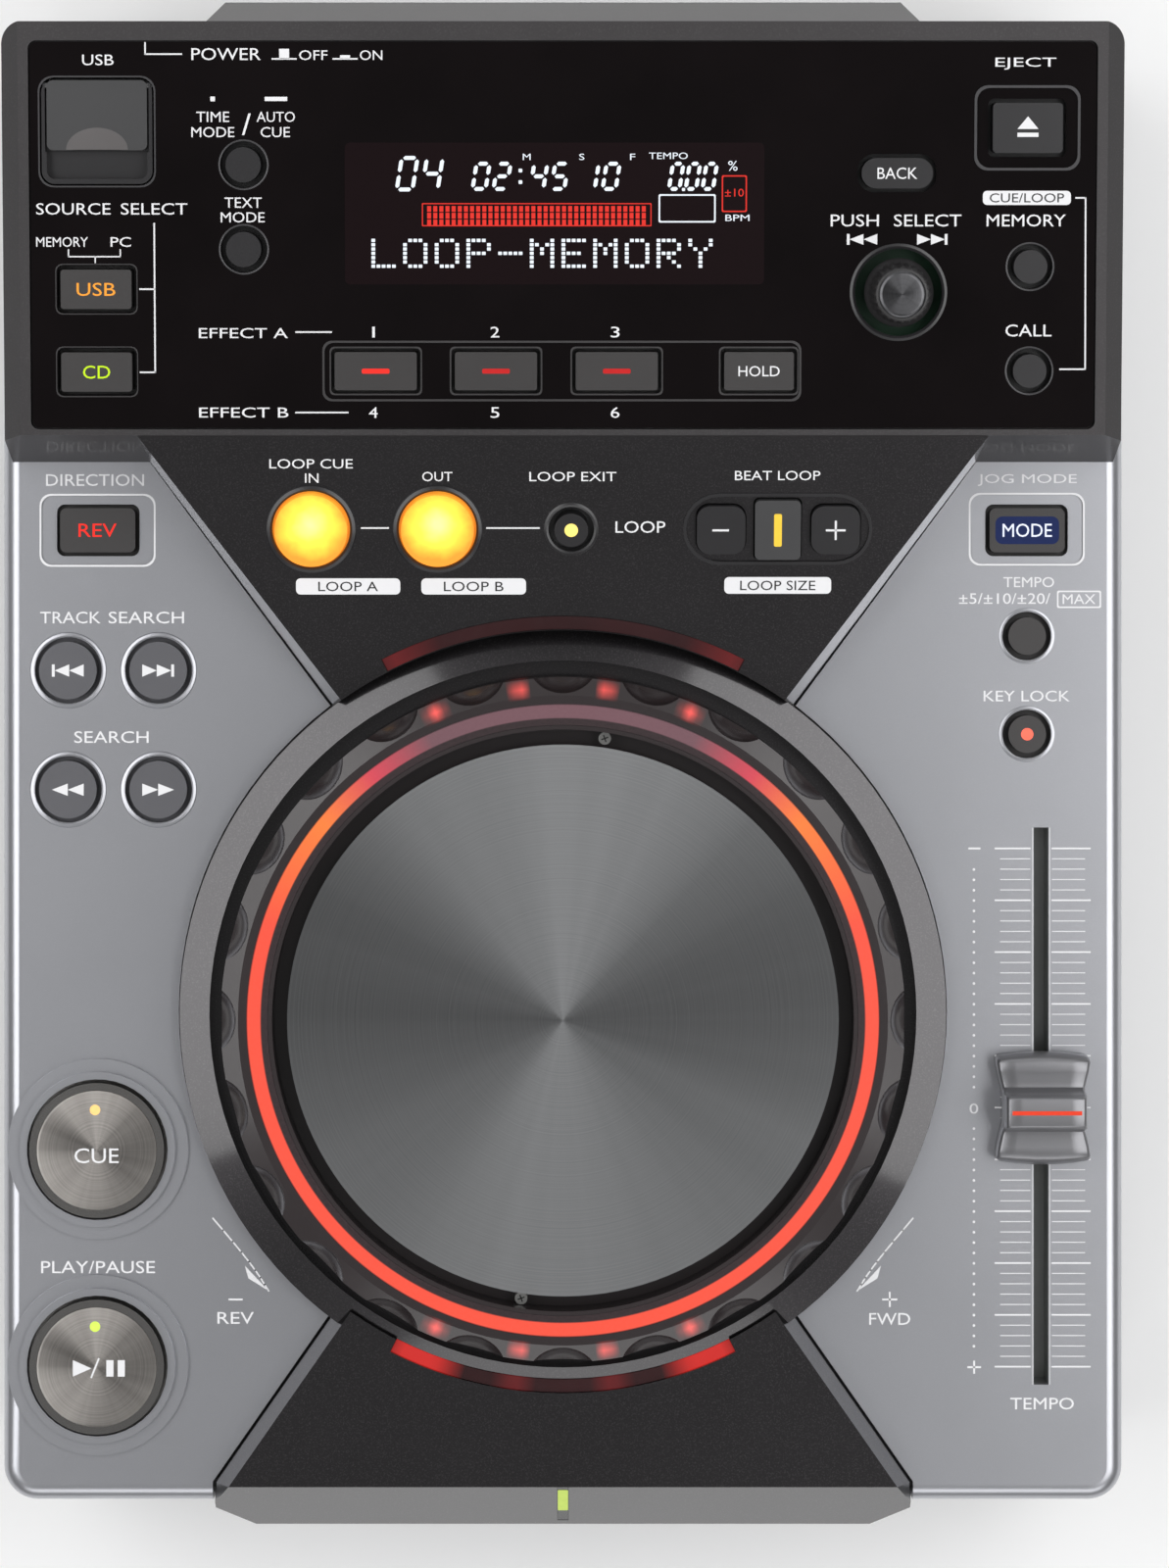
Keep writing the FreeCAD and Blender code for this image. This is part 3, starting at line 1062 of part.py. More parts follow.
for number, (side, y) in enumerate(POSTS, start=1):
    x = f"{side} * (case_width / 2 - 2.2 - post_radius)"
    head = rod(f"screw_head_{number}", "case_screw_radius * 2", "0.8", x, y, "foot_height")
    shank = rod(f"screw_shank_{number}", "case_screw_radius", "case_screw_length", x, y, "foot_height + 0.4")
    screws.append(fuse(f"case_screw_{number}", head, shank))
node("case_screws", group("case_screws", *screws))


# Rear sockets: mains inlet, line out pair with square USB socket, power button
inlet_block = box("inlet_block", "mains_width + 4", "mains_depth + 2", "mains_height + 4", "mains_x",
                  f"{panel_y} - mains_depth / 2", f"{row_z} - mains_height / 2 - 2")
inlet_room = box("inlet_room", "mains_width", "mains_depth + 2", "mains_height", "mains_x", f"{panel_y} - mains_depth / 2 + 2",
                 f"{row_z} - mains_height / 2")
inlet_pins = [lying_rod(f"inlet_pin_{number}", "mains_pin_radius", "mains_pin_length + 1", f"mains_x + {side} * mains_pin_pitch / 2",
                        f"{panel_y} - mains_depth + 0.5", row_z, "Y") for number, side in enumerate((-1, 1), start=1)]
node("mains_inlet", fuse("mains_inlet", cut("inlet_shell", inlet_block, inlet_room), *inlet_pins))
line_block = box("line_block", "line_out_pitch + 14", "14", "13", "line_out_x", f"{panel_y} - 6", f"{row_z} - 6.5")
line_parts = [line_block]
line_holes = []
for number, side in enumerate((-1, 1), start=1):
    x = f"line_out_x + {side} * line_out_pitch / 2"
    line_parts.append(lying_rod(f"line_sleeve_{number}", "line_out_radius", "line_out_length + 1", x, panel_y, row_z, "Y"))
    line_holes.append(lying_rod(f"line_bore_{number}", "1.6", "line_out_length + 6", x, f"{panel_y} - 4", row_z, "Y"))
usb_block = box("square_usb_block", "square_usb_side + 3", "14", "square_usb_side + 3", "square_usb_x", f"{panel_y} - 6",
                f"{row_z} - square_usb_side / 2 - 1.5")
usb_room = box("square_usb_room", "square_usb_side", "14", "square_usb_side", "square_usb_x", f"{panel_y} - 5 + 1.5",
               f"{row_z} - square_usb_side / 2")
line_body = cut("line_body", fuse("line_pair", *line_parts), *line_holes)
node("rear_jacks", group("rear_jacks", line_body, cut("square_usb", usb_block, usb_room)))
node("power_button", box("power_button", "power_button_side", "power_button_out + 6", "power_button_side", "power_button_x",
                         f"{panel_y} + power_button_out / 2 - 3", f"{row_z} - power_button_side / 2"))


doc.recompute()
faults = [item.Name for item in doc.Objects if "Invalid" in item.State or "Error" in item.State]
if faults:
    raise RuntimeError("features that failed: " + ", ".join(faults))
for item in nodes:
    if item.Shape.isNull() or not item.Shape.isValid():
        raise RuntimeError("shape not valid: " + item.Label)
os.makedirs("parts", exist_ok=True)
for item in nodes:
    item.Shape.exportStep(f"parts/{item.Label}.step")
print(len(nodes), "nodes")
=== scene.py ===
"""A tabletop disc player for a mixing desk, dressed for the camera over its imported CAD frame.

The frame is in metres. Sizes and places given to the helpers are in mm, unless a comment says otherwise.
"""

import math

import bmesh
import bpy
from mathutils import Matrix, Vector


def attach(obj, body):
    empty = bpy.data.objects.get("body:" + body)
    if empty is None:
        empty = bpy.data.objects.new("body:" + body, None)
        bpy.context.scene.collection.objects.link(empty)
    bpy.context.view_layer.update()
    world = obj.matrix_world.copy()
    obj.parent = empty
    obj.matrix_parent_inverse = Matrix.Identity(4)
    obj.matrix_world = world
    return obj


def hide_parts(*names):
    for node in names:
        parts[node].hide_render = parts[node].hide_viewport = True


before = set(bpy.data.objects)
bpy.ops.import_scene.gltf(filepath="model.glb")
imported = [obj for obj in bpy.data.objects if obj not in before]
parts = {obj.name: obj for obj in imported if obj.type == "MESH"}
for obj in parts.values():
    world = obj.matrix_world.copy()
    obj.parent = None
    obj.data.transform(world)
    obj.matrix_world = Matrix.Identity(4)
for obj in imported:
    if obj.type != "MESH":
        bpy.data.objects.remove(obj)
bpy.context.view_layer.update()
MM = 0.001


# ---- The camera stands one metre above the deck and looks straight down, a little right of the jog axis.
# The picture was cropped low, so the view is shifted towards the front edge, in shares of its 1600 rows.
DECK_TOP = 75.7
PHOTO_ROWS = 1600
view_data = bpy.data.cameras.new("top_view")
view_data.lens = 117.8
view_data.sensor_width = 36.0
view_data.shift_x = 21.5 / PHOTO_ROWS
view_data.shift_y = -240 / PHOTO_ROWS
view_data.clip_start = 0.05
view_data.clip_end = 20.0
top_view = bpy.data.objects.new("top_view", view_data)
top_view.location = (0.0001, 0.0431, DECK_TOP * MM + 1.0)
bpy.context.scene.collection.objects.link(top_view)
bpy.context.scene.camera = top_view
bpy.context.scene.view_settings.view_transform = "Standard"


# ---- The table: a plain white sheet that fades to white round the player.
# Its colour is nearly white, with the faintest cloud, and it takes the player's soft shadow.
def tint(red, green, blue):
    """A screen colour from 0 to 255, as the linear numbers that a shader takes."""
    shares = [value / 255 for value in (red, green, blue)]
    return [s / 12.92 if s < 0.0405 else ((s + 0.055) / 1.055) ** 2.4 for s in shares] + [1.0]


def scaled(colour, share):
    """The same colour, darker or lighter."""
    return [min(1.0, c * share) for c in colour[:3]] + [1.0]


def blank(name):
    """A new material, with its node tree and its shader."""
    made = bpy.data.materials.new(name)
    made.use_nodes = True
    return made, made.node_tree, made.node_tree.nodes["Principled BSDF"]


def clouds(tree, scale, detail=2.0, space="Object"):
    """A cloudy pattern, with so many patches to a metre of object space."""
    place = tree.nodes.new("ShaderNodeTexCoord")
    made = tree.nodes.new("ShaderNodeTexNoise")
    made.inputs["Scale"].default_value = scale
    made.inputs["Detail"].default_value = detail
    tree.links.new(place.outputs[space], made.inputs["Vector"])
    return made.outputs["Fac"]


def ramp(tree, source, stops):
    """A colour that follows a value through stops of (position, colour)."""
    made = tree.nodes.new("ShaderNodeValToRGB")
    elements = made.color_ramp.elements
    elements[0].position, elements[0].color = stops[0]
    elements[1].position, elements[1].color = stops[-1]
    for position, colour in stops[1:-1]:
        elements.new(position).color = colour
    tree.links.new(source, made.inputs["Fac"])
    return made.outputs["Color"]


def laid(tree, way, first, second):
    """Two colours put together, where way is ADD or MULTIPLY."""
    made = tree.nodes.new("ShaderNodeMixRGB")
    made.blend_type = way
    made.inputs["Fac"].default_value = 1.0
    tree.links.new(first, made.inputs["Color1"])
    tree.links.new(second, made.inputs["Color2"])
    return made.outputs["Color"]


def worn(tree, shader, pattern, roughness, strength, relief):
    """Lets a pattern vary the roughness and dent the surface, by a relief in mm."""
    polish = tree.nodes.new("ShaderNodeMapRange")
    polish.inputs["To Min"].default_value = roughness * 0.85
    polish.inputs["To Max"].default_value = min(1.0, roughness * 1.15)
    tree.links.new(pattern, polish.inputs["Value"])
    tree.links.new(polish.outputs["Result"], shader.inputs["Roughness"])
    dents = tree.nodes.new("ShaderNodeBump")
    dents.inputs["Strength"].default_value = strength
    dents.inputs["Distance"].default_value = relief * MM
    tree.links.new(pattern, dents.inputs["Height"])
    tree.links.new(dents.outputs["Normal"], shader.inputs["Normal"])


def finish(name, colour, roughness, metal=0.0, mottle=0.05, fleck=0.0, grain=0.4, relief=0.01, gloss=0.5,
           coat=0.0):
    """A moulded or painted surface. Clouds vary its colour, a grain of a size in mm dents it, flecks glint."""
    made, tree, shader = blank(name)
    shader.inputs["Metallic"].default_value = metal
    shader.inputs["Specular IOR Level"].default_value = gloss
    shader.inputs["Coat Weight"].default_value = coat
    shader.inputs["Coat Roughness"].default_value = 0.08
    dust = clouds(tree, 1 / (grain * MM), 3.0)
    shades = [(0.3, scaled(colour, 1 - mottle)), (0.7, scaled(colour, 1 + mottle))]
    coloured = ramp(tree, clouds(tree, 45.0, 4.0), shades)
    if fleck:
        glints = ramp(tree, dust, [(0.52, (0, 0, 0, 1)), (0.75, (fleck, fleck, fleck, 1))])
        coloured = laid(tree, "ADD", coloured, glints)
    tree.links.new(coloured, shader.inputs["Base Color"])
    worn(tree, shader, dust, roughness, 0.6, relief)
    return made


def dress(material, *names):
    """Gives CAD pieces their finish."""
    for name in names:
        parts[name].data.materials.clear()
        parts[name].data.materials.append(material)


def sheet_object(name, mesh, material, body=None, smooth=30):
    """A mesh made here becomes a piece, and rides on its body."""
    made = bpy.data.objects.new(name, mesh)
    bpy.context.scene.collection.objects.link(made)
    mesh.materials.clear()
    mesh.materials.append(material)
    mesh.polygons.foreach_set("use_smooth", [True] * len(mesh.polygons))
    mesh.set_sharp_from_angle(angle=math.radians(smooth))
    if body:
        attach(made, body)
    return made


table_mesh = bpy.data.meshes.new("table_top")
table_mesh.from_pydata([(-3, -3, 0), (3, -3, 0), (3, 3, 0), (-3, 3, 0)], [], [(0, 1, 2, 3)])
table_white = finish("table_white", tint(247, 247, 247), 0.7, mottle=0.004, grain=2.0, gloss=0.2)
sheet_object("table_top", table_mesh, table_white)


# ---- Four soft lamps in a ring, left and right the strongest, and a dim even sky.
# The middle overhead stays dark, so that flat metal turns from bright at the sides to dark in the middle.
def lamp(name, place, width, depth, power):
    """A soft oblong lamp that faces the player. Its place and sizes are in metres, its power in watts."""
    data = bpy.data.lights.new(name, "AREA")
    data.shape = "RECTANGLE"
    data.size = width
    data.size_y = depth
    data.energy = power
    made = bpy.data.objects.new(name, data)
    made.location = place
    made.rotation_mode = "QUATERNION"
    made.rotation_quaternion = Vector(place).to_track_quat("Z", "Y")
    bpy.context.scene.collection.objects.link(made)


lamp("left_lamp", (-0.74, 0.15, 1.12), 1.4, 0.7, 9.0)
lamp("right_lamp", (0.66, 0.1, 1.12), 1.4, 0.75, 10.0)
lamp("rear_lamp", (0.0, 1.4, 1.0), 1.6, 0.6, 3.0)
lamp("front_lamp", (0.1, -1.3, 1.0), 1.6, 0.6, 6.0)
sky = bpy.data.worlds.new("even_sky")
sky.use_nodes = True
sky.node_tree.nodes["Background"].inputs["Color"].default_value = (1, 1, 1, 1)
sky.node_tree.nodes["Background"].inputs["Strength"].default_value = 0.22
bpy.context.scene.world = sky


# ---- The base: a pressed steel pan painted black, on four rubber feet, held by screws from below.
# The rear panel with its sockets is folded up from the same sheet.
pan_black = finish("pan_black", tint(40, 40, 42), 0.55, metal=0.2, mottle=0.08, grain=0.5, relief=0.02)
foot_rubber = finish("foot_rubber", tint(28, 27, 27), 0.85, mottle=0.1, grain=0.3, relief=0.03, gloss=0.25)
zinc = finish("zinc_screws", tint(150, 150, 148), 0.35, metal=1.0, mottle=0.1, grain=0.2)
dress(pan_black, "base_pan")
dress(foot_rubber, "rubber_feet")
dress(zinc, "case_screws", "jog_screws", "lead_screw", "select_shaft")


# ---- The boards: green fibreglass key boards and main board, and a brown supply board with its parts.
# They hang under the panels and stand on the pan's posts, and show only from below or with the case off.
board_green = finish("board_green", tint(34, 78, 52), 0.4, mottle=0.15, grain=1.5, relief=0.02)
board_brown = finish("board_brown", tint(112, 84, 48), 0.5, mottle=0.15, grain=1.5, relief=0.02)
dress(board_green, "key_boards", "main_board")
dress(board_brown, "power_supply")


# ---- The disc drive: a folded and zinc plated chassis with a moulded turntable, sled and rubber roller.
# It hangs level behind the slot in the nose.
drive_zinc = finish("drive_zinc", tint(150, 152, 150), 0.4, metal=0.9, mottle=0.08, grain=0.8)
drive_plastic = finish("drive_plastic", tint(30, 30, 32), 0.6, mottle=0.1)
dress(drive_zinc, "drive_chassis", "fader_unit")
dress(drive_plastic, "turntable", "pickup_sled")
dress(foot_rubber, "loading_roller")


# ---- The case: one shell moulded in silver plastic and sprayed with a fine metallic paint.
# White words and lines are printed on its deck.
case_silver = finish("case_silver", tint(174, 175, 180), 0.31, metal=0.85, mottle=0.02, fleck=0.02,
                     grain=0.25)
dress(case_silver, "upper_case")
deck_level = Matrix.Translation((0, 0, DECK_TOP * MM))
PRINT_DEPTH = 0.06


def print_span(height=0.0):
    """The bottom and top of a mark printed at a height above its level."""
    return height - 0.01, height + PRINT_DEPTH - 0.01


def spot(level, u, v, height):
    """A point on a level: u to the right, v to the rear and a height above it."""
    return level @ Vector((u * MM, v * MM, height * MM))


def word(sheet, level, text, u, v, width, height, lift=0.0):
    """Prints a word on a level, centred at u, v and fitted to its width and height."""
    letters = bpy.data.curves.new("letters", "FONT")
    letters.body = text
    letters.extrude = 0.5
    letters.resolution_u = 3
    holder = bpy.data.objects.new("letters", letters)
    shape = bpy.data.meshes.new_from_object(holder)
    xs = [vertex.co.x for vertex in shape.vertices]
    ys = [vertex.co.y for vertex in shape.vertices]
    wide = width * MM / (max(xs) - min(xs))
    tall = height * MM / (max(ys) - min(ys))
    fit = Matrix.Diagonal((wide, tall, PRINT_DEPTH * MM, 1))
    middle = Matrix.Translation((-(max(xs) + min(xs)) / 2, -(max(ys) + min(ys)) / 2, 0.4))
    shape.transform(level @ Matrix.Translation((u * MM, v * MM, lift * MM)) @ fit @ middle)
    sheet.from_mesh(shape)
    bpy.data.objects.remove(holder)
    bpy.data.curves.remove(letters)
    bpy.data.meshes.remove(shape)


def bridge(sheet, near, far):
    """A band of faces between two rings of as many corners."""
    for step in range(len(near)):
        after = (step + 1) % len(near)
        sheet.faces.new((near[step], near[after], far[after], far[step]))


def slab_on(sheet, level, corners, span=print_span()):
    """A thin flat shape on a level, from its corners, anticlockwise seen from above."""
    under = [sheet.verts.new(spot(level, u, v, span[0])) for u, v in corners]
    over = [sheet.verts.new(spot(level, u, v, span[1])) for u, v in corners]
    sheet.faces.new(over)
    sheet.faces.new(under[::-1])
    bridge(sheet, under, over)


def oblong(left, right, low, high):
    """Corners of an upright oblong."""
    return [(left, low), (right, low), (right, high), (left, high)]


def line(sheet, level, points, width=0.4, span=print_span()):
    """A printed line through points."""
    for (u1, v1), (u2, v2) in zip(points, points[1:]):
        run = math.hypot(u2 - u1, v2 - v1)
        along = ((u2 - u1) / run * width / 2, (v2 - v1) / run * width / 2)
        side = (-along[1], along[0])
        first = (u1 - along[0], v1 - along[1])
        last = (u2 + along[0], v2 + along[1])
        corners = [(first[0] - side[0], first[1] - side[1]), (last[0] - side[0], last[1] - side[1]),
                   (last[0] + side[0], last[1] + side[1]), (first[0] + side[0], first[1] + side[1])]
        slab_on(sheet, level, corners, span)


def rounded(u, v, width, depth, corner, steps=6):
    """Corners of a rounded oblong centred at u, v."""
    ring = []
    for turn, (sx, sy) in enumerate(((1, 1), (-1, 1), (-1, -1), (1, -1))):
        for step in range(steps + 1):
            angle = math.radians(90 * turn + 90 * step / steps)
            ring.append((u + sx * (width / 2 - corner) + corner * math.cos(angle),
                         v + sy * (depth / 2 - corner) + corner * math.sin(angle)))
    return ring


def frame_line(sheet, level, ring, width=0.35, span=print_span()):
    """A closed outline of one width round a ring of corners."""
    cu = sum(u for u, v in ring) / len(ring)
    cv = sum(v for u, v in ring) / len(ring)
    share_u = 1 - width / max(abs(u - cu) for u, v in ring)
    share_v = 1 - width / max(abs(v - cv) for u, v in ring)
    inner = [(cu + (u - cu) * share_u, cv + (v - cv) * share_v) for u, v in ring]
    for i in range(len(ring)):
        j = (i + 1) % len(ring)
        slab_on(sheet, level, [ring[i], ring[j], inner[j], inner[i]], span)


def printed(sheet, name, material, body, smooth=30):
    """What is gathered on a sheet becomes one piece."""
    mesh = bpy.data.meshes.new(name)
    sheet.to_mesh(mesh)
    sheet.free()
    return sheet_object(name, mesh, material, body, smooth)


white_ink = finish("white_ink", tint(228, 228, 230), 0.5, mottle=0.01, grain=0.3, relief=0.002, gloss=0.3)
deck_words = bmesh.new()
for text, u, v, width, height in (
    ("DIRECTION", -91.2, 56.5, 19.1, 2.3),
    ("TRACK", -96.0, 29.7, 11.8, 2.3),
    ("SEARCH", -81.2, 29.7, 14.7, 2.3),
    ("SEARCH", -88.0, 6.4, 14.5, 2.3),
    ("PLAY/PAUSE", -90.6, -96.9, 22.2, 2.4),
    ("REV", -63.8, -106.8, 7.1, 2.3),
    ("FWD", 63.7, -107.0, 8.0, 2.3),
    ("JOG MODE", 90.5, 56.5, 19.3, 2.3),
    ("TEMPO", 90.8, 36.6, 9.9, 2.0),
    ("±5/±10/±20/", 86.1, 33.4, 17.8, 2.1),
    ("MAX", 100.6, 33.3, 6.4, 1.9),
    ("KEY LOCK", 90.4, 14.4, 16.8, 2.1),
    ("TEMPO", 93.4, -123.5, 12.4, 2.3),
    ("0", 80.1, -66.0, 1.7, 2.0),
):
    word(deck_words, deck_level, text, u, v, width, height)
frame_line(deck_words, deck_level, rounded(100.6, 33.25, 8.6, 3.4, 0.3, 2), 0.3)
frame_line(deck_words, deck_level, rounded(-90.7, 46.7, 22.6, 14.2, 2.2))
frame_line(deck_words, deck_level, rounded(90.4, 46.9, 22.6, 14.2, 2.2))
for signs in (
    [(-65.0, -103.2), (-62.6, -103.2)],
    [(62.4, -103.2), (65.0, -103.2)],
    [(63.7, -101.9), (63.7, -104.5)],
    [(79.2, -15.3), (81.2, -15.3)],
    [(79.0, -116.4), (81.3, -116.4)],
    [(80.15, -115.3), (80.15, -117.5)],
):
    line(deck_words, deck_level, signs, 0.35)
SCALE_START = -15.3
SCALE_STEP = 10.1
MINOR_STEP = 2.02
for step in range(11):
    v = SCALE_START - SCALE_STEP * step
    for left, right in ((84.3, 91.0), (95.4, 102.7)):
        line(deck_words, deck_level, [(left, v), (right, v)], 0.3)
    if step < 10:
        for minor in range(1, 5):
            w = v - MINOR_STEP * minor
            for left, right in ((85.3, 91.0), (95.4, 101.7)):
                line(deck_words, deck_level, [(left, w), (right, w)], 0.16)
for step in range(47):
    v = -19.4 - MINOR_STEP * step
    if abs(v + 66.0) > 2.2:
        slab_on(deck_words, deck_level, rounded(80.1, v, 0.5, 0.5, 0.2, 2))
for side in (-1, 1):
    bow = []
    for step in range(9):
        share = step / 8
        u = side * (68.2 - 10.8 * share - 1.6 * math.sin(math.pi * share))
        bow.append((u, -87.4 - 14.1 * share - 1.4 * math.sin(math.pi * share)))
    line(deck_words, deck_level, bow, 0.3)
    tip_u, tip_v = bow[-1]
    arrow = [(tip_u, tip_v), (tip_u + side * 4.6, tip_v + 4.9), (tip_u + side * 3.9, tip_v + 2.4)]
    slab_on(deck_words, deck_level, arrow if side > 0 else arrow[::-1])
printed(deck_words, "deck_print", white_ink, "root")


# ---- The black centre frame: funnel, jog ring and nose in one moulding with a fine sparkling grain.
# It is let into the silver deck, and carries the loop legends and the lamp on the nose.
FRAME_RISE = 6.0
FUNNEL_FRONT = 12.3
HOOD_FRONT = 65.4
HOOD_RISE = 17.5
NOSE_EDGE = 138.7
NOSE_FRONT = 148.6
NOSE_DROP = 14.8
frame_black = finish("frame_black", tint(54, 52, 54), 0.32, metal=1.0, mottle=0.05, fleck=0.03, grain=0.3,
                     relief=0.012, coat=1.0)
dress(frame_black, "centre_frame", "jog_base")
funnel_slope = math.atan((HOOD_RISE - FRAME_RISE) / (HOOD_FRONT - FUNNEL_FRONT))
funnel_place = Matrix.Translation((0, FUNNEL_FRONT * MM, (DECK_TOP + FRAME_RISE) * MM))
funnel_level = funnel_place @ Matrix.Rotation(funnel_slope, 4, "X")
# Dark print for the pale pills; the same finish also paints the shade inside the jog screws' cross recesses.
dark_ink_and_shade = finish("dark_ink_and_shade", tint(28, 27, 28), 0.6, mottle=0.02, grain=0.3, relief=0.002)
funnel_words = bmesh.new()
for text, u, v, width, height in (
    ("LOOP CUE", -48.3, 48.2, 16.0, 1.85),
    ("IN", -48.2, 45.4, 2.6, 1.85),
    ("OUT", -24.1, 45.7, 5.8, 1.85),
    ("LOOP EXIT", 1.9, 45.7, 16.7, 1.85),
    ("LOOP", 14.9, 35.8, 9.6, 2.3),
    ("BEAT LOOP", 41.2, 45.9, 16.4, 1.85),
):
    word(funnel_words, funnel_level, text, u, v, width, height)
line(funnel_words, funnel_level, [(-38.7, 35.6), (-33.6, 35.6)], 0.3)
line(funnel_words, funnel_level, [(-14.6, 35.6), (-4.6, 35.6)], 0.3)
pill_words = bmesh.new()
for text, u, v, pill_width, pill_depth, width in (
    ("LOOP A", -41.4, 24.1, 20.1, 3.2, 11.5),
    ("LOOP B", -17.2, 24.1, 20.2, 3.2, 11.5),
    ("LOOP SIZE", 41.4, 24.3, 20.6, 3.3, 14.5),
):
    slab_on(funnel_words, funnel_level, rounded(u, v, pill_width, pill_depth, 0.9, 4))
    word(pill_words, funnel_level, text, u, v, width, 1.9, lift=0.03)
printed(funnel_words, "funnel_print", white_ink, "root")
printed(pill_words, "funnel_pill_print", dark_ink_and_shade, "root")


def glowing(name, colour, strength=1.0, around=0.25):
    """A lit surface: its colour shines a little unevenly, over a darker body of the same colour."""
    made, tree, shader = blank(name)
    shader.inputs["Roughness"].default_value = 0.4
    shader.inputs["Specular IOR Level"].default_value = 0.1
    shader.inputs["Emission Strength"].default_value = strength
    patches = clouds(tree, 900.0)
    low, high = scaled(colour, 0.88), scaled(colour, 1.05)
    shine = ramp(tree, patches, [(0.0, low), (1.0, high)])
    tree.links.new(shine, shader.inputs["Emission Color"])
    body_colour = ramp(tree, patches, [(0.0, scaled(low, around)), (1.0, scaled(high, around))])
    tree.links.new(body_colour, shader.inputs["Base Color"])
    return made


nose_slope = math.atan(NOSE_DROP / (NOSE_FRONT - NOSE_EDGE))
nose_place = Matrix.Translation((0, -NOSE_EDGE * MM, (DECK_TOP + FRAME_RISE) * MM))
nose_level = nose_place @ Matrix.Rotation(nose_slope, 4, "X")
lamp_face = bmesh.new()
slab_on(lamp_face, nose_level, rounded(0.0, -6.2, 2.0, 9.6, 0.3, 3), (0.0, 0.08))
printed(lamp_face, "nose_lamp_light", glowing("lit_nose", tint(190, 212, 100), 0.9), "root")


# ---- The display hood: a wedge moulded in black over the rear third, with a smooth rail round its fascia.
# The fascia is a sheet of gloss black acrylic let into it, printed with the words for its keys.
HOOD_SLOPE = 5.0
hood_black = finish("hood_black", tint(72, 70, 71), 0.42, metal=0.9, mottle=0.05, fleck=0.02, grain=0.3,
                    relief=0.01, coat=0.3)
gloss_black = finish("gloss_black", tint(13, 9, 10), 0.12, mottle=0.2, grain=3.0, relief=0.0005, gloss=0.18)
dress(hood_black, "display_hood")
dress(gloss_black, "display_window")
hood_place = Matrix.Translation((0, HOOD_FRONT * MM, (DECK_TOP + HOOD_RISE) * MM))
hood_level = hood_place @ Matrix.Rotation(math.radians(HOOD_SLOPE), 4, "X")
hood_words = bmesh.new()
for text, u, v, width, height in (
    ("USB", -88.5, 71.0, 6.0, 2.05),
    ("POWER", -64.1, 72.1, 13.2, 2.3),
    ("OFF", -47.5, 71.9, 5.4, 1.86),
    ("ON", -36.5, 71.9, 4.3, 1.86),
    ("TIME", -66.7, 60.2, 6.3, 1.95),
    ("MODE", -66.7, 57.3, 8.2, 1.95),
    ("AUTO", -54.7, 60.2, 7.3, 1.95),
    ("CUE", -54.8, 57.3, 5.6, 1.95),
    ("/", -60.3, 58.8, 1.7, 4.11),
    ("TEXT", -61.0, 43.9, 7.1, 1.95),
    ("MODE", -61.1, 41.1, 8.4, 1.95),
    ("SOURCE", -93.4, 42.7, 14.2, 2.2),
    ("SELECT", -78.0, 42.7, 12.7, 2.2),
    ("MEMORY", -95.6, 36.4, 9.9, 1.87),
    ("PC", -84.4, 36.4, 3.9, 1.87),
    ("EFFECT A", -61.1, 19.0, 17.0, 1.95),
    ("EFFECT B", -61.1, 3.8, 17.1, 1.95),
    ("1", -36.2, 19.2, 0.5, 2.06),
    ("2", -13.0, 19.2, 1.7, 2.06),
    ("3", 10.0, 19.2, 1.7, 2.06),
    ("4", -36.3, 3.8, 1.7, 2.06),
    ("5", -13.0, 3.8, 1.7, 2.06),
    ("6", 10.0, 3.8, 1.7, 2.06),
    ("EJECT", 88.1, 70.3, 11.6, 2.3),
    ("MEMORY", 88.4, 40.5, 15.1, 2.3),
    ("CALL", 89.0, 19.5, 8.8, 2.3),
    ("PUSH", 55.7, 40.5, 9.2, 2.3),
    ("SELECT", 69.6, 40.5, 12.9, 2.3),
):
    word(hood_words, hood_level, text, u, v, width, height)


def skip_mark(sheet, level, u, v, width, height, heading, bar=True, span=print_span()):
    """Two arrow heads and, where it skips a track, a bar: heading is 1 for forward and -1 for back."""
    bar_width = 0.09 * width if bar else 0.0
    head = (width - bar_width) / 2
    low, high = v - height / 2, v + height / 2
    for number in range(2):
        tail = u - heading * (width / 2 - head * number)
        arrow = [(tail, low), (tail + heading * head, v), (tail, high)]
        slab_on(sheet, level, arrow if heading > 0 else arrow[::-1], span)
    if bar:
        end = u + heading * width / 2
        inner = end - heading * bar_width
        slab_on(sheet, level, oblong(min(end, inner), max(end, inner), low, high), span)


skip_mark(hood_words, hood_level, 57.1, 36.9, 5.8, 2.06, -1)
skip_mark(hood_words, hood_level, 70.5, 36.9, 5.8, 2.06, 1)
line(hood_words, hood_level, [(-79.5, 74.2), (-79.5, 72.1), (-72.6, 72.1)], 0.3)
for left, up in ((-55.3, 1.9), (-43.7, 0.7)):
    line(hood_words, hood_level, [(left, 71.2), (left + 4.5, 71.2)], 0.3)
    slab_on(hood_words, hood_level, oblong(left + 1.3, left + 3.2, 71.2, 71.2 + up))
slab_on(hood_words, hood_level, rounded(-66.7, 63.6, 0.9, 0.9, 0.1, 2))
for width, points in (
    (0.8, [(-56.4, 63.6), (-52.9, 63.6)]),
    (0.25, [(-94.4, 34.9), (-94.4, 33.6), (-84.5, 33.6), (-84.5, 34.9)]),
    (0.25, [(-89.3, 33.6), (-89.3, 32.5)]),
    (0.3, [(-78.0, 39.9), (-78.0, 11.5), (-80.8, 11.5)]),
    (0.3, [(-78.0, 27.4), (-80.8, 27.4)]),
    (0.3, [(-51.0, 19.2), (-44.3, 19.2)]),
    (0.3, [(-51.1, 3.8), (-41.2, 3.8)]),
    (0.3, [(97.9, 44.8), (99.7, 44.8), (99.9, 12.1), (95.1, 12.1)]),
):
    line(hood_words, hood_level, points, width)
slab_on(hood_words, hood_level, rounded(88.5, 44.8, 16.8, 2.7, 0.8, 4))
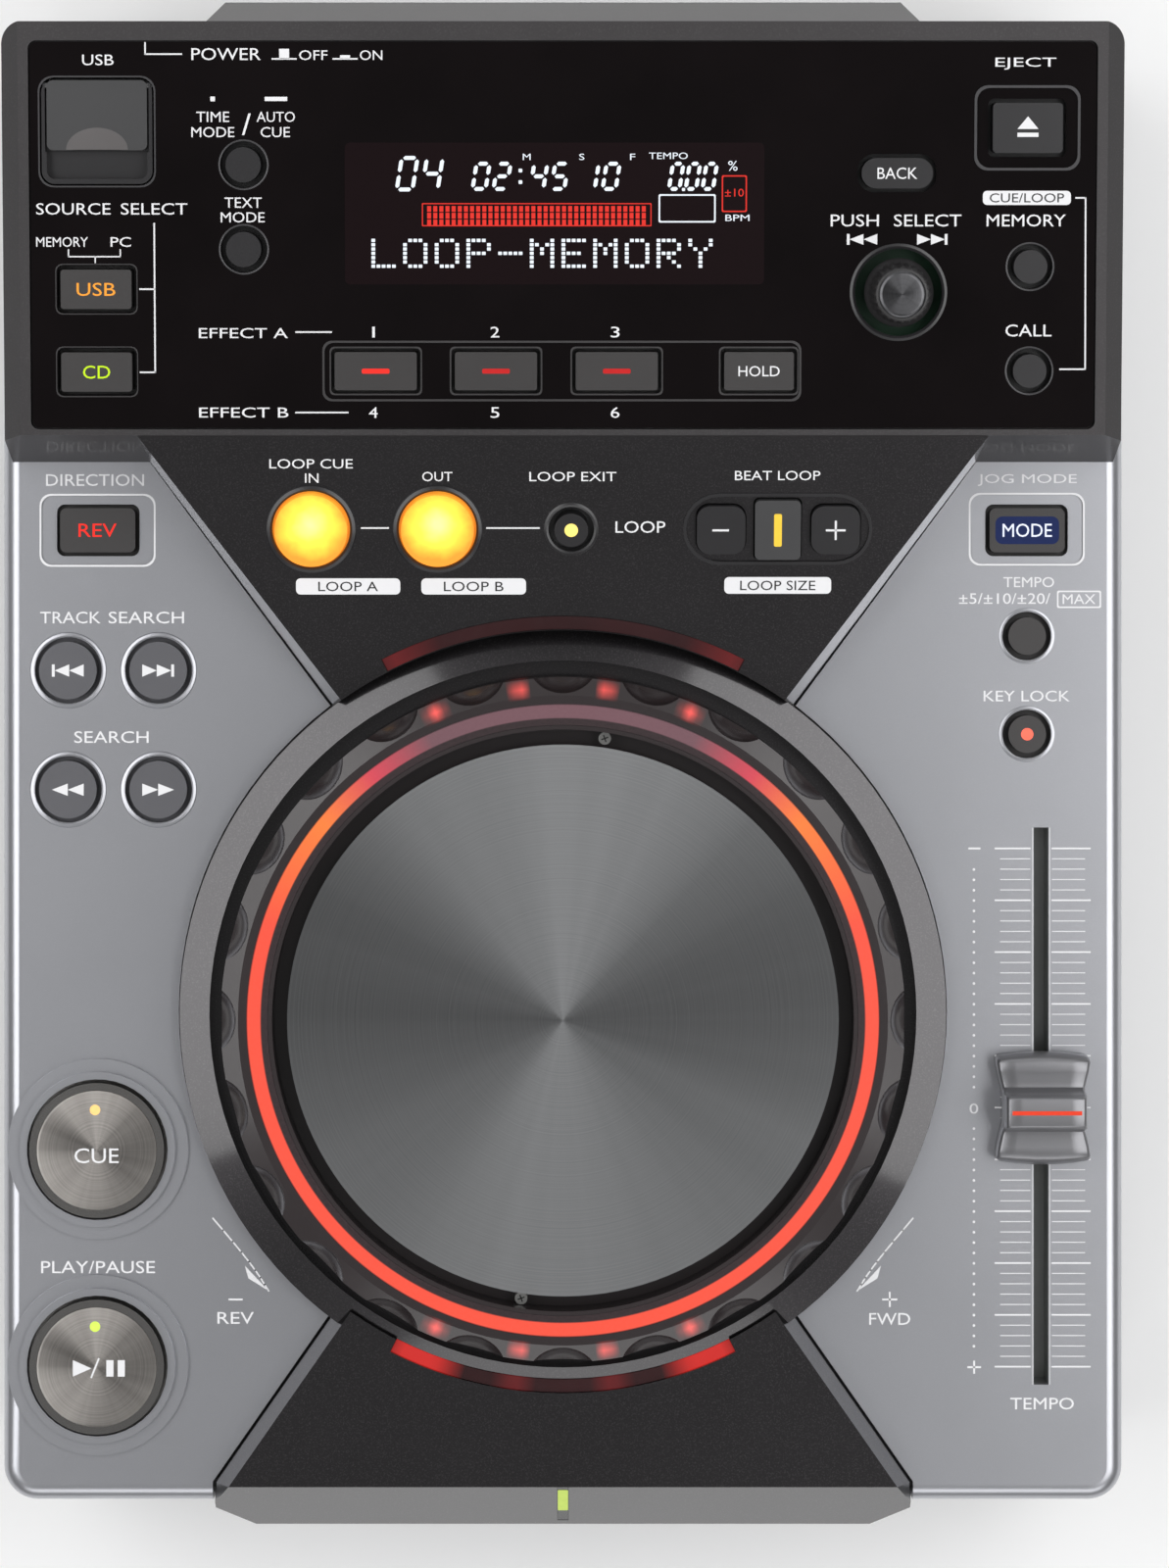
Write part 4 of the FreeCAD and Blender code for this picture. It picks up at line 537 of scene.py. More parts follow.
printed(hood_words, "fascia_print", white_ink, "root")


def word_piece(name, material, body, level, text, u, v, width, height, lift):
    """One word that is a piece of its own."""
    mark = bmesh.new()
    word(mark, level, text, u, v, width, height, lift)
    printed(mark, name, material, body)


word_piece("fascia_pill_print", dark_ink_and_shade, "root", hood_level, "CUE/LOOP", 88.5, 44.8, 14.2, 1.75, 0.03)


# ---- The display: a lit fluorescent panel behind the acrylic, which glows dark red round its figures.
# Its glass is a CAD block under the sheet, and its lit segments show on the sheet's face.
LIT_SPAN = (0.01, 0.05)
panel_glow = glowing("panel_glow", tint(19, 6, 9), 1.0, 0.1)
dress(panel_glow, "display_module")
glow_sheet = bmesh.new()
slab_on(glow_sheet, hood_level, rounded(-1.6, 41.8, 80.0, 27.0, 1.0), (0.0, 0.015))
printed(glow_sheet, "display_glow", panel_glow, "root")


def segment_digit(sheet, value, u, v, width, height):
    """A leaning figure of seven segments, centred at u, v."""
    lit = {"0": "abcdef", "1": "bc", "2": "abged", "4": "fgbc", "5": "afgcd"}
    x, y, t = width / 2, height / 2, 0.375
    places = {"a": (-x, y, x, y), "d": (-x, -y, x, -y), "g": (-x, 0, x, 0), "b": (x, 0, x, y),
              "c": (x, -y, x, 0), "f": (-x, 0, -x, y), "e": (-x, -y, -x, 0)}
    for name in lit[value]:
        x1, y1, x2, y2 = places[name]
        if y1 == y2:
            ring = [(x1 + t * 1.6, y1 - t), (x2 - t * 1.6, y1 - t), (x2 - t * 0.7, y1),
                    (x2 - t * 1.6, y1 + t), (x1 + t * 1.6, y1 + t), (x1 + t * 0.7, y1)]
        else:
            ring = [(x1, y1 + t * 0.7), (x1 + t, y1 + t * 1.6), (x1 + t, y2 - t * 1.6),
                    (x1, y2 - t * 0.7), (x1 - t, y2 - t * 1.6), (x1 - t, y1 + t * 1.6)]
        slab_on(sheet, hood_level, [(u + a + 0.16 * b, v + b) for a, b in ring], LIT_SPAN)


figures = bmesh.new()
for digits, places, v, width, height in (
    ("04", (-29.7, -24.9), 49.4, 3.0, 6.0),
    ("024510", (-15.6, -11.6, -4.6, -0.6, 5.2, 9.2), 48.9, 2.5, 4.8),
    ("000", (21.6, 24.8, 28.0), 48.9, 2.0, 4.8),
):
    for value, u in zip(digits, places):
        segment_digit(figures, value, u, v, width, height)
for u, v, size in ((-8.1, 50.0, 0.7), (-8.1, 47.8, 0.7), (23.0, 46.4, 0.6)):
    slab_on(figures, hood_level, rounded(u, v, size, size, 0.1, 1), LIT_SPAN)
for text, u, v, width, height in (
    ("M", -6.9, 52.6, 1.5, 1.2),
    ("S", 3.6, 52.6, 1.0, 1.2),
    ("F", 13.3, 52.6, 1.0, 1.2),
    ("TEMPO", 20.1, 52.8, 7.4, 1.25),
    ("%", 32.4, 50.9, 1.8, 1.9),
    ("BPM", 33.3, 41.0, 4.6, 1.2),
):
    word(figures, hood_level, text, u, v, width, height)
frame_line(figures, hood_level, rounded(23.7, 42.8, 10.9, 5.4, 0.2, 1), 0.3, LIT_SPAN)
DOT_ROWS = {
    "L": "10000 10000 10000 10000 10000 10000 11111",
    "O": "01110 10001 10001 10001 10001 10001 01110",
    "P": "11110 10001 10001 11110 10000 10000 10000",
    "-": "00000 00000 00000 11111 00000 00000 00000",
    "M": "10001 11011 10101 10101 10001 10001 10001",
    "E": "11111 10000 10000 11110 10000 10000 11111",
    "R": "11110 10001 10001 11110 10100 10010 10001",
    "Y": "10001 10001 01010 00100 00100 00100 00100",
}
for place_number, letter in enumerate("LOOP-MEMORY"):
    for row, bits in enumerate(DOT_ROWS[letter].split()):
        for column, bit in enumerate(bits):
            if bit == "1":
                u = -36.2 + 6.05 * place_number + 0.98 * column
                v = 36.7 - 0.82 * row
                slab_on(figures, hood_level, rounded(u, v, 0.72, 0.62, 0.05, 1), LIT_SPAN)
printed(figures, "display_figures", glowing("figure_white", tint(226, 232, 240)), "root")
bars = bmesh.new()
for column in range(36):
    for row in range(3):
        u = -25.9 + 1.17 * column
        v = 42.9 - 1.3 * row
        slab_on(bars, hood_level, oblong(u, u + 0.75, v - 0.75, v + 0.35), LIT_SPAN)
frame_line(bars, hood_level, rounded(-5.0, 41.6, 43.8, 4.4, 0.1, 1), 0.2, LIT_SPAN)
frame_line(bars, hood_level, rounded(32.7, 45.6, 4.8, 7.0, 0.2, 1), 0.25, LIT_SPAN)
word(bars, hood_level, "±10", 32.7, 45.8, 3.6, 1.5)
printed(bars, "display_bars", glowing("figure_red", tint(216, 52, 44)), "root")


# ---- The hood's keys: round black keys, two lit source keys, four wide keys in a sunk strip, and eject.
# Each is a moulded cap on its own switch, with a printed or lit mark that moves with it.
def soften(width, *names, segments=3):
    """Rounds the sharp edges of CAD pieces, as a tool leaves them."""
    for name in names:
        edge = parts[name].modifiers.new("soft_edge", "BEVEL")
        edge.width = width * MM
        edge.segments = segments
        edge.limit_method = "ANGLE"
        edge.angle_limit = math.radians(40)


CAP = 1.2
SUNK_CAP = 0.6
EFFECT_ROW = 11.75
EFFECT_PLACES = (-35.8, -12.8, 10.3)
HOLD_PLACE = 37.5
SOURCE_COLUMN = -89.1
SOURCE_ROWS = (27.4, 11.6)
KEY_EDGE = 0.35
key_black = finish("key_black", tint(34, 33, 35), 0.3, mottle=0.06, grain=0.3, relief=0.004, gloss=0.6)
key_dark = finish("key_dark", tint(54, 52, 52), 0.38, mottle=0.06, grain=0.3, relief=0.006)
black_keys = ("time_key", "text_key", "memory_key", "call_key", "back_key", "eject_key")
dark_keys = ("usb_source_key", "cd_source_key", "effect_key_1", "effect_key_2", "effect_key_3", "hold_key")
dress(key_black, *black_keys)
dress(key_dark, *dark_keys)
soften(KEY_EDGE, *black_keys, *dark_keys)


def turned(name, level, u, v, outline, material, body, sides=72):
    """A lathe-turned piece: outline runs through (radius, height), about an axis square to the level."""
    made = bmesh.new()
    rings = []
    for radius, height in outline:
        ring = []
        for step in range(sides if radius else 1):
            angle = 2 * math.pi * step / sides
            place = spot(level, u + radius * math.cos(angle), v + radius * math.sin(angle), height)
            ring.append(made.verts.new(place))
        rings.append(ring)
    for inner, outer in zip(rings, rings[1:]):
        if len(inner) == 1:
            for step in range(sides):
                made.faces.new((inner[0], outer[(step + 1) % sides], outer[step]))
        else:
            bridge(made, inner, outer)
    bmesh.ops.recalc_face_normals(made, faces=made.faces)
    printed(made, name, material, body)


bezel_grey = finish("bezel_grey", tint(70, 69, 71), 0.35, metal=0.4, mottle=0.04, grain=0.3, relief=0.004)
for name, u, v, radius in (
    ("time", -60.9, 51.1, 4.45),
    ("text", -60.9, 35.0, 4.45),
    ("memory", 89.2, 31.7, 4.3),
    ("call", 89.2, 11.8, 4.3),
):
    outline = [(radius, -0.05), (radius + 0.05, 0.12), (radius + 0.22, 0.18), (radius + 0.36, 0.1),
               (radius + 0.4, -0.05)]
    turned(f"{name}_key_bezel", hood_level, u, v, outline, bezel_grey, "root")
lit_red = glowing("lit_red", tint(244, 52, 44))
dim_red = glowing("dim_red", tint(190, 40, 40))
word_piece("usb_source_key_mark", glowing("lit_orange", tint(246, 160, 60)), "usb_source_key",
           hood_level, "USB", SOURCE_COLUMN, SOURCE_ROWS[0], 7.4, 2.5, CAP)
word_piece("cd_source_key_mark", glowing("lit_green", tint(196, 232, 40)), "cd_source_key",
           hood_level, "CD", SOURCE_COLUMN, SOURCE_ROWS[1], 5.2, 2.5, CAP)
for number, u in enumerate(EFFECT_PLACES, start=1):
    mark = bmesh.new()
    slab_on(mark, hood_level, rounded(u, EFFECT_ROW, 5.3, 0.95, 0.3, 3), print_span(SUNK_CAP))
    printed(mark, f"effect_key_{number}_light", lit_red if number == 1 else dim_red, f"effect_key_{number}")
word_piece("hold_key_mark", white_ink, "hold_key",
           hood_level, "HOLD", HOLD_PLACE, EFFECT_ROW, 7.9, 2.0, SUNK_CAP)
word_piece("back_key_mark", white_ink, "back_key", hood_level, "BACK", 63.7, 49.5, 7.6, 2.2, CAP)
mark = bmesh.new()
slab_on(mark, hood_level, [(86.5, 57.9), (90.5, 57.9), (88.5, 60.3)], print_span(CAP))
slab_on(mark, hood_level, oblong(86.5, 90.5, 56.4, 57.2), print_span(CAP))
printed(mark, "eject_key_mark", white_ink, "eject_key")
rims = bmesh.new()
frame_line(rims, hood_level, rounded(88.5, 58.1, 20.2, 16.2, 2.6), 0.5, (-0.5, 0.12))
printed(rims, "eject_key_rim", bezel_grey, "root")
strip_grey = finish("strip_grey", tint(52, 50, 51), 0.4, mottle=0.06, grain=0.3, relief=0.004)
rims = bmesh.new()
frame_line(rims, hood_level, rounded(-0.2, EFFECT_ROW, 91.6, 11.6, 1.8), 0.4, (-0.4, 0.1))
for u, length in [(place, 17.7) for place in EFFECT_PLACES] + [(HOLD_PLACE, 15.3)]:
    frame_line(rims, hood_level, rounded(u, EFFECT_ROW, length, 9.3, 0.9, 3), 0.3, (-0.4, -0.25))
printed(rims, "effect_strip_rim", strip_grey, "root")
rims = bmesh.new()
for v in SOURCE_ROWS:
    frame_line(rims, hood_level, rounded(SOURCE_COLUMN, v, 15.7, 9.7, 1.3, 3), 0.2, (-0.1, 0.08))
printed(rims, "source_key_rims", strip_grey, "root")


# ---- The select knob: a push and turn knob with a ridged rubber side and a turned metal cap.
# It stands in for the plain CAD knob on the same shaft.
def aside(tree, centre, space="Object"):
    """A flat vector from an upright axis to the point. The centre is in the units of the space."""
    place = tree.nodes.new("ShaderNodeTexCoord")
    moved = tree.nodes.new("ShaderNodeVectorMath")
    moved.operation = "SUBTRACT"
    moved.inputs[1].default_value = (centre[0], centre[1], 0)
    tree.links.new(place.outputs[space], moved.inputs[0])
    flat = tree.nodes.new("ShaderNodeVectorMath")
    flat.operation = "MULTIPLY"
    flat.inputs[1].default_value = (1, 1, 0)
    tree.links.new(moved.outputs["Vector"], flat.inputs[0])
    return flat.outputs["Vector"]


def reach_of(tree, vector):
    """The length of a vector."""
    made = tree.nodes.new("ShaderNodeVectorMath")
    made.operation = "LENGTH"
    tree.links.new(vector, made.inputs[0])
    return made.outputs["Value"]


def heading_of(tree, vector):
    """The heading of a flat vector, from 0 to 1 round from the left."""
    made = tree.nodes.new("ShaderNodeTexGradient")
    made.gradient_type = "RADIAL"
    tree.links.new(vector, made.inputs["Vector"])
    return made.outputs["Fac"]


def stripes(tree, source, scale, detail):
    """Noise along one value."""
    made = tree.nodes.new("ShaderNodeTexNoise")
    made.noise_dimensions = "1D"
    made.inputs["Scale"].default_value = scale
    made.inputs["Detail"].default_value = detail
    tree.links.new(source, made.inputs["W"])
    return made.outputs["Fac"]


def spun(name, colour, roughness, centre, swing, rings=0.35):
    """Metal turned on a lathe: fine rings about its centre, streaks by heading, and a stretched highlight."""
    made, tree, shader = blank(name)
    shader.inputs["Metallic"].default_value = 1.0
    shader.inputs["Anisotropic"].default_value = 0.8
    round_way = tree.nodes.new("ShaderNodeTangent")
    round_way.direction_type = "RADIAL"
    round_way.axis = "Z"
    tree.links.new(round_way.outputs["Tangent"], shader.inputs["Tangent"])
    away = aside(tree, (centre[0] * MM, centre[1] * MM))
    groove = stripes(tree, reach_of(tree, away), 1 / (rings * MM), 2.0)
    streak = stripes(tree, heading_of(tree, away), 9.0, 4.0)
    both = tree.nodes.new("ShaderNodeMix")
    both.data_type = "FLOAT"
    both.inputs["Factor"].default_value = 0.35
    tree.links.new(streak, both.inputs["A"])
    tree.links.new(groove, both.inputs["B"])
    shades = [(0.3, scaled(colour, 1 - swing)), (0.7, scaled(colour, 1 + swing))]
    tree.links.new(ramp(tree, both.outputs["Result"], shades), shader.inputs["Base Color"])
    worn(tree, shader, groove, roughness, 0.25, 0.004)
    return made


SELECT = (64.1, 26.8)
SELECT_TOP = 11.6
RIDGES = 24
around = RIDGES * 4
knob_rubber = finish("knob_rubber", tint(40, 39, 40), 0.45, mottle=0.08, grain=0.3, relief=0.01)
knob = bmesh.new()
rings = []
for radius, height, depth in (
    (6.6, 0.7, 0.0), (6.6, 1.4, 0.0), (6.2, 2.0, 0.0), (5.9, 2.6, 0.1), (5.75, 3.2, 0.45), (5.7, 9.6, 0.45),
    (5.45, 10.9, 0.3), (5.0, 11.5, 0.05), (4.6, SELECT_TOP, 0.0),
):
    ring = []
    for step in range(around):
        angle = 2 * math.pi * step / around
        reach = radius - depth * (0.5 - 0.5 * math.cos(RIDGES * angle)) ** 0.7
        u = SELECT[0] + reach * math.cos(angle)
        v = SELECT[1] + reach * math.sin(angle)
        ring.append(knob.verts.new(spot(hood_level, u, v, height)))
    rings.append(ring)
for low, high in zip(rings, rings[1:]):
    bridge(knob, low, high)
knob.faces.new(rings[0][::-1])
knob.faces.new(rings[-1])
select_grip = printed(knob, "select_grip", knob_rubber, "select_knob", 50)
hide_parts("select_knob")
knob_spot = spot(hood_level, *SELECT, SELECT_TOP)
cap_metal = spun("cap_metal", tint(84, 84, 86), 0.3, (knob_spot.x / MM, knob_spot.y / MM), 0.3)
turned("select_cap", hood_level, *SELECT, [(0, 11.98), (3.6, 11.98), (4.1, 11.9), (4.45, 11.65), (4.5, 11.3)],
       cap_metal, "select_knob")
turned("select_bezel", hood_level, *SELECT,
       [(8.3, -0.4), (8.35, 0.1), (8.8, 0.3), (9.3, 0.15), (9.35, -0.05)], key_black, "root")


# ---- The USB socket under its smoky lid: a steel shell in a black well.
# The lid is a sheet of dark clear plastic with a finger scoop, hinged at its rear edge.
smoky = finish("smoky_lid", tint(66, 66, 67), 0.25, mottle=0.05, grain=0.6, relief=0.002, gloss=0.6)
dress(key_black, "usb_socket")
dress(smoky, "usb_lid")
soften(0.25, "usb_lid")
rims = bmesh.new()
frame_line(rims, hood_level, rounded(-88.8, 57.4, 22.4, 21.2, 2.9), 0.3, (-0.2, 0.12))
printed(rims, "usb_well_rim", bezel_grey, "root")
grip = bmesh.new()
bow = [(-88.8 + 5.9 * math.cos(math.pi * step / 20), 53.95 + 4.2 * math.sin(math.pi * step / 20))
       for step in range(21)]
slab_on(grip, hood_level, bow, (-1.3, 0.04))
printed(grip, "usb_lid_grip", finish("lid_grip", tint(86, 83, 83), 0.4, mottle=0.12, grain=0.6), "usb_lid")


# ---- The loop keys on the funnel: two glowing amber keys in black collars, the small exit key with its
# light, and the paired minus and plus keys about a lit block.
def amber_lens():
    """Lit from below: pale yellow in the middle, and orange where the cap gets thick at its edge."""
    made, tree, shader = blank("amber_lens")
    shader.inputs["Roughness"].default_value = 0.3
    shader.inputs["Emission Strength"].default_value = 0.85
    reach = reach_of(tree, aside(tree, (0.5, 0.5), "Generated"))
    sway = tree.nodes.new("ShaderNodeMath")
    sway.operation = "MULTIPLY_ADD"
    sway.inputs[1].default_value = 0.12
    tree.links.new(clouds(tree, 300.0), sway.inputs[0])
    tree.links.new(reach, sway.inputs[2])
    shades = ramp(tree, sway.outputs["Value"], [(0.08, tint(255, 236, 130)), (0.24, tint(252, 204, 66)),
                                                (0.42, tint(214, 130, 40))])
    tree.links.new(shades, shader.inputs["Emission Color"])
    tree.links.new(shades, shader.inputs["Base Color"])
    return made


LOOP_ROW = 35.4
dress(amber_lens(), "loop_in_key", "loop_out_key")
dress(key_black, "loop_exit_key", "loop_minus_key", "loop_plus_key")
soften(0.8, "loop_in_key", "loop_out_key", segments=4)
soften(KEY_EDGE, "loop_exit_key", "loop_minus_key", "loop_plus_key")
for name, u in (("loop_in", -48.4), ("loop_out", -24.1)):
    turned(f"{name}_collar", funnel_level, u, LOOP_ROW,
           [(7.45, -0.4), (7.5, 0.5), (7.9, 0.7), (8.5, 0.45), (8.7, -0.05)], key_black, "root")
turned("loop_exit_bezel", funnel_level, 1.6, LOOP_ROW,
       [(4.35, -0.1), (4.4, 0.2), (4.8, 0.3), (5.2, 0.1), (5.25, -0.05)], key_black, "root")
turned("loop_exit_light", funnel_level, 1.6, LOOP_ROW, [(0, 1.55), (0.8, 1.45), (1.3, 1.2), (1.35, 1.1)],
       glowing("lit_yellow", tint(255, 226, 120), 1.2), "loop_exit_key")
mark = bmesh.new()
line(mark, funnel_level, [(28.9, LOOP_ROW), (31.7, LOOP_ROW)], 0.4, print_span(CAP))
printed(mark, "loop_minus_key_mark", white_ink, "loop_minus_key")
mark = bmesh.new()
line(mark, funnel_level, [(50.7, LOOP_ROW), (54.1, LOOP_ROW)], 0.4, print_span(CAP))
line(mark, funnel_level, [(52.4, 33.7), (52.4, 37.1)], 0.4, print_span(CAP))
printed(mark, "loop_plus_key_mark", white_ink, "loop_plus_key")
dress(smoky, "light_windows")
mark = bmesh.new()
slab_on(mark, funnel_level, rounded(41.3, LOOP_ROW, 1.5, 6.4, 0.3, 2), (1.2, 1.26))
printed(mark, "loop_block_light", glowing("lit_amber", tint(240, 200, 70)), "root")
rims = bmesh.new()
frame_line(rims, funnel_level, rounded(41.3, LOOP_ROW, 36.4, 14.0, 6.9), 0.6, (-0.3, 0.2))
printed(rims, "loop_pill_rim", key_black, "root")


# ---- The deck's keys: four round seek keys, the reverse and jog mode keys lit from inside, and two small
# keys. Round keys sit in thin raised rings that are part of the silver moulding.
seek_grey = finish("seek_grey", tint(104, 104, 108), 0.34, metal=0.5, mottle=0.04, grain=0.3, relief=0.004)
seek_keys = ("track_back_key", "track_forward_key", "search_back_key", "search_forward_key")
deck_keys = ("tempo_range_key", "key_lock_key", "reverse_key", "jog_mode_key")
dress(seek_grey, *seek_keys)
dress(key_dark, *deck_keys)
soften(0.4, *seek_keys, *deck_keys)
seek_places = ((-96.4, 19.4, -1), (-78.8, 19.4, 1), (-96.4, -3.8, -1), (-78.8, -3.8, 1))
for name, (u, v, heading) in zip(seek_keys, seek_places):
    mark = bmesh.new()
    skip_mark(mark, deck_level, u, v, 6.2, 2.4, heading, name.startswith("track"), print_span(CAP))
    printed(mark, f"{name}_mark", white_ink, name)
    outline = [(6.55, -0.3), (6.6, 0.2), (6.85, 0.32), (7.3, 0.2), (7.5, -0.05)]
    turned(f"{name}_bezel", deck_level, u, v, outline, case_silver, "root")
for name, v in (("tempo_range_key", 26.1), ("key_lock_key", 7.0)):
    outline = [(4.8, -0.3), (4.85, 0.15), (5.05, 0.25), (5.4, 0.15), (5.5, -0.05)]
    turned(f"{name}_bezel", deck_level, 90.4, v, outline, case_silver, "root")
turned("key_lock_light", deck_level, 90.4, 7.0, [(0, 1.55), (0.7, 1.45), (1.2, 1.2), (1.25, 1.1)],
       glowing("lit_scarlet", tint(255, 110, 90), 1.2), "key_lock_key")
word_piece("reverse_key_mark", lit_red, "reverse_key", deck_level, "REV", -90.6, 46.7, 7.4, 2.6, CAP)
haze = bmesh.new()
slab_on(haze, deck_level, rounded(90.4, 46.7, 12.4, 5.4, 1.4), (CAP - 0.01, CAP + 0.02))
printed(haze, "jog_mode_key_haze", glowing("blue_haze", tint(34, 46, 92), 0.7), "jog_mode_key")
word_piece("jog_mode_key_mark", glowing("lit_white", tint(230, 236, 255)), "jog_mode_key",
           deck_level, "MODE", 90.4, 46.7, 9.6, 2.6, CAP + 0.03)


# ---- The cue and play keys: a turned metal face in a polished ring, in a dark collar on the deck.
# A small light near the rear edge of each face shows its state.
COLUMN = -90.6
FACE_TOP = 3.36
FACE_SPAN = (3.34, 3.41)
ring_metal = finish("ring_metal", tint(150, 148, 146), 0.22, metal=1.0, mottle=0.04, grain=0.3, relief=0.002)
dress(ring_metal, "cue_key", "play_key")
soften(0.6, "cue_key", "play_key", segments=4)
for name, v, colour in (("cue", -73.8, tint(255, 206, 130)), ("play", -115.9, tint(206, 232, 96))):
    face = spun(f"{name}_face_metal", tint(150, 146, 142), 0.34, (COLUMN, v), 0.28)
    turned(f"{name}_face", deck_level, COLUMN, v, [(0, FACE_TOP), (11.2, FACE_TOP), (11.6, 3.3), (11.75, 3.1)],
           face, f"{name}_key")
    mark = bmesh.new()
    if name == "cue":
        word(mark, deck_level, "CUE", COLUMN, v - 1.0, 8.6, 2.9, FACE_TOP)
    else:
        slab_on(mark, deck_level, [(-95.2, v - 1.8), (-91.6, v - 0.2), (-95.2, v + 1.4)], FACE_SPAN)
        line(mark, deck_level, [(-91.6, v - 1.9), (-90.2, v + 1.6)], 0.35, FACE_SPAN)
        for u in (-88.7, -86.5):
            slab_on(mark, deck_level, oblong(u, u + 1.4, v - 1.8, v + 1.4), FACE_SPAN)
    printed(mark, f"{name}_key_mark", white_ink, f"{name}_key")
    turned(f"{name}_light", deck_level, -90.9, v + 7.9, [(0, 3.7), (0.6, 3.62), (1.0, 3.4), (1.05, 3.3)],
           glowing(f"lit_{name}", colour, 1.1), f"{name}_key")


# ---- The tempo fader: a slide pot under the deck and a tall knob with a red line, in dark silver plastic.
# The knob is lofted through stations along the slot: place, half width and height, mirrored for the rear.
FADER = (93.2, -65.5)
FADER_TOP = 13.0
fader_silver = finish("fader_silver", tint(128, 128, 131), 0.33, metal=0.7, mottle=0.04, grain=0.3,
                      relief=0.006)
half_knob = [(-11.0, 7.9, 2.6), (-10.9, 8.7, 4.4), (-10.4, 9.0, 5.6), (-9.3, 9.1, 6.4), (-7.2, 8.8, 6.4),
             (-5.4, 8.4, 6.0), (-4.3, 8.1, 6.2), (-3.7, 8.0, 7.3), (-3.4, 7.9, 10.0), (-3.2, 7.85, 12.2),
             (-2.9, 7.8, 12.8), (-2.4, 7.75, FADER_TOP)]
stations = half_knob + [(-v, half, height) for v, half, height in half_knob[::-1]]
grip = bmesh.new()
sections = []
for v, half, height in stations:
    across = [(-half, 0.9), (-half, height - 0.9), (-half + 0.2, height - 0.3), (-half + 0.7, height)]
    across += [(half * share, height) for share in (-0.6, -0.2, 0.2, 0.6)]
    across += [(-u, z) for u, z in across[3::-1]]
    bow = 0.9 * max(0.0, abs(v) - 8.5) / 2.5
    lean = -1 if v > 0 else 1
    section = []
    for u, z in across:
        place = spot(deck_level, FADER[0] + u, FADER[1] + v + lean * bow * (u / 9.1) ** 2, z)
        section.append(grip.verts.new(place))
    sections.append(section)
for near, far in zip(sections, sections[1:]):
    bridge(grip, near, far)
grip.faces.new(sections[0])
grip.faces.new(sections[-1][::-1])
bmesh.ops.recalc_face_normals(grip, faces=grip.faces)
tempo_grip = printed(grip, "tempo_grip", fader_silver, "tempo_knob", 50)
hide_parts("tempo_knob")
# The knob's red line is a print, and its glow is painted light: it shines faintly in its own colour with no
# lamp behind it.
mark = bmesh.new()
slab_on(mark, deck_level, oblong(86.5, 99.9, -65.9, -65.1), print_span(FADER_TOP))
printed(mark, "tempo_knob_line", glowing("line_red_painted_glow", tint(222, 66, 44), 0.6, 0.6), "tempo_knob")
# The slot's lips are thin moulded rims, coloured much paler than the deck: a painted highlight along both
# edges of the slot.
lips = bmesh.new()
for u in (91.55, 94.85):
    line(lips, deck_level, [(u, -119.6), (u, -11.4)], 0.3, (-0.1, 0.12))
printed(lips, "fader_slot_lip", finish("lip_painted_highlight", tint(214, 215, 218), 0.3, metal=0.7, grain=0.3), "root")


# ---- The jog wheel: a smoky rim with finger dimples, a red light guide, and a turned metal touch plate.
# The rim turns on the base's spindle, and the plate sinks a little when it is touched.
JOG = (0.0, -47.0)
OFF = (0.0, 0.0, 0.0, 1.0)


def jog_sockets(tree):
    """Sockets for the distance from the jog axis, in metres, and the heading about it."""
    away = aside(tree, (JOG[0] * MM, JOG[1] * MM))
    return reach_of(tree, away), heading_of(tree, away)


def shine(tree, colour, reach, inner, outer, stops):
    """Lights a shader between two distances from the axis, by stops of (share of the way, brightness)."""
    way = tree.nodes.new("ShaderNodeMapRange")
    way.inputs["From Min"].default_value = inner * MM
    way.inputs["From Max"].default_value = outer * MM
    tree.links.new(reach, way.inputs["Value"])
    band = ramp(tree, way.outputs["Result"], [(share, (level, level, level, 1.0)) for share, level in stops])
    shader = tree.nodes["Principled BSDF"]
    tree.links.new(laid(tree, "MULTIPLY", colour, band), shader.inputs["Emission Color"])


def light_guide():
    """The glowing ring: red all round, orange near its lamps, and faint towards the display."""
    made, tree, shader = blank("light_guide")
    shader.inputs["Roughness"].default_value = 0.3
    shader.inputs["Emission Strength"].default_value = 1.0
    reach, heading = jog_sockets(tree)
    red = tint(250, 78, 50)
    hot = tint(255, 128, 44)
    pink = tint(214, 62, 80)
    faint = tint(110, 76, 84)
    glow = ramp(tree, heading, [(0.0, red), (0.55, red), (0.61, hot), (0.645, pink), (0.68, faint),
                                (0.82, faint), (0.855, pink), (0.89, hot), (0.95, red), (1.0, red)])
    band = [(0.0, 0.0), (0.33, 0.0), (0.38, 1.0), (0.84, 1.0), (0.9, 0.0), (1.0, 0.0)]
    shine(tree, glow, reach, 56.0, 61.0, band)
    patches = clouds(tree, 200.0, space="Generated")
    base = ramp(tree, patches, [(0.3, tint(44, 34, 36)), (0.7, tint(54, 42, 44))])
    tree.links.new(base, shader.inputs["Base Color"])
    return made


def dial_rim():
    """Smoky plastic. Eight small red lamps shine through it, four to the rear and four to the front."""
    made = finish("dial_smoke", tint(44, 38, 39), 0.24, mottle=0.06, grain=0.6, relief=0.003, gloss=0.6)
    tree = made.node_tree
    reach, heading = jog_sockets(tree)
    red = tint(250, 82, 74)
    half_spot = 0.0048
    stops = [(0.0, OFF)]
    for lamp_heading in (247.5, 262.5, 277.5, 292.5, 67.5, 82.5, 97.5, 112.5):
        share = (lamp_heading / 360 + 0.5) % 1.0
        stops += [(share - half_spot, OFF), (share, red), (share + half_spot, OFF)]
    spots = ramp(tree, heading, stops + [(1.0, OFF)])
    shine(tree, spots, reach, 61.6, 65.6, [(0.0, 0.0), (0.5, 1.0), (1.0, 0.0)])
    tree.nodes["Principled BSDF"].inputs["Emission Strength"].default_value = 1.2
    return made


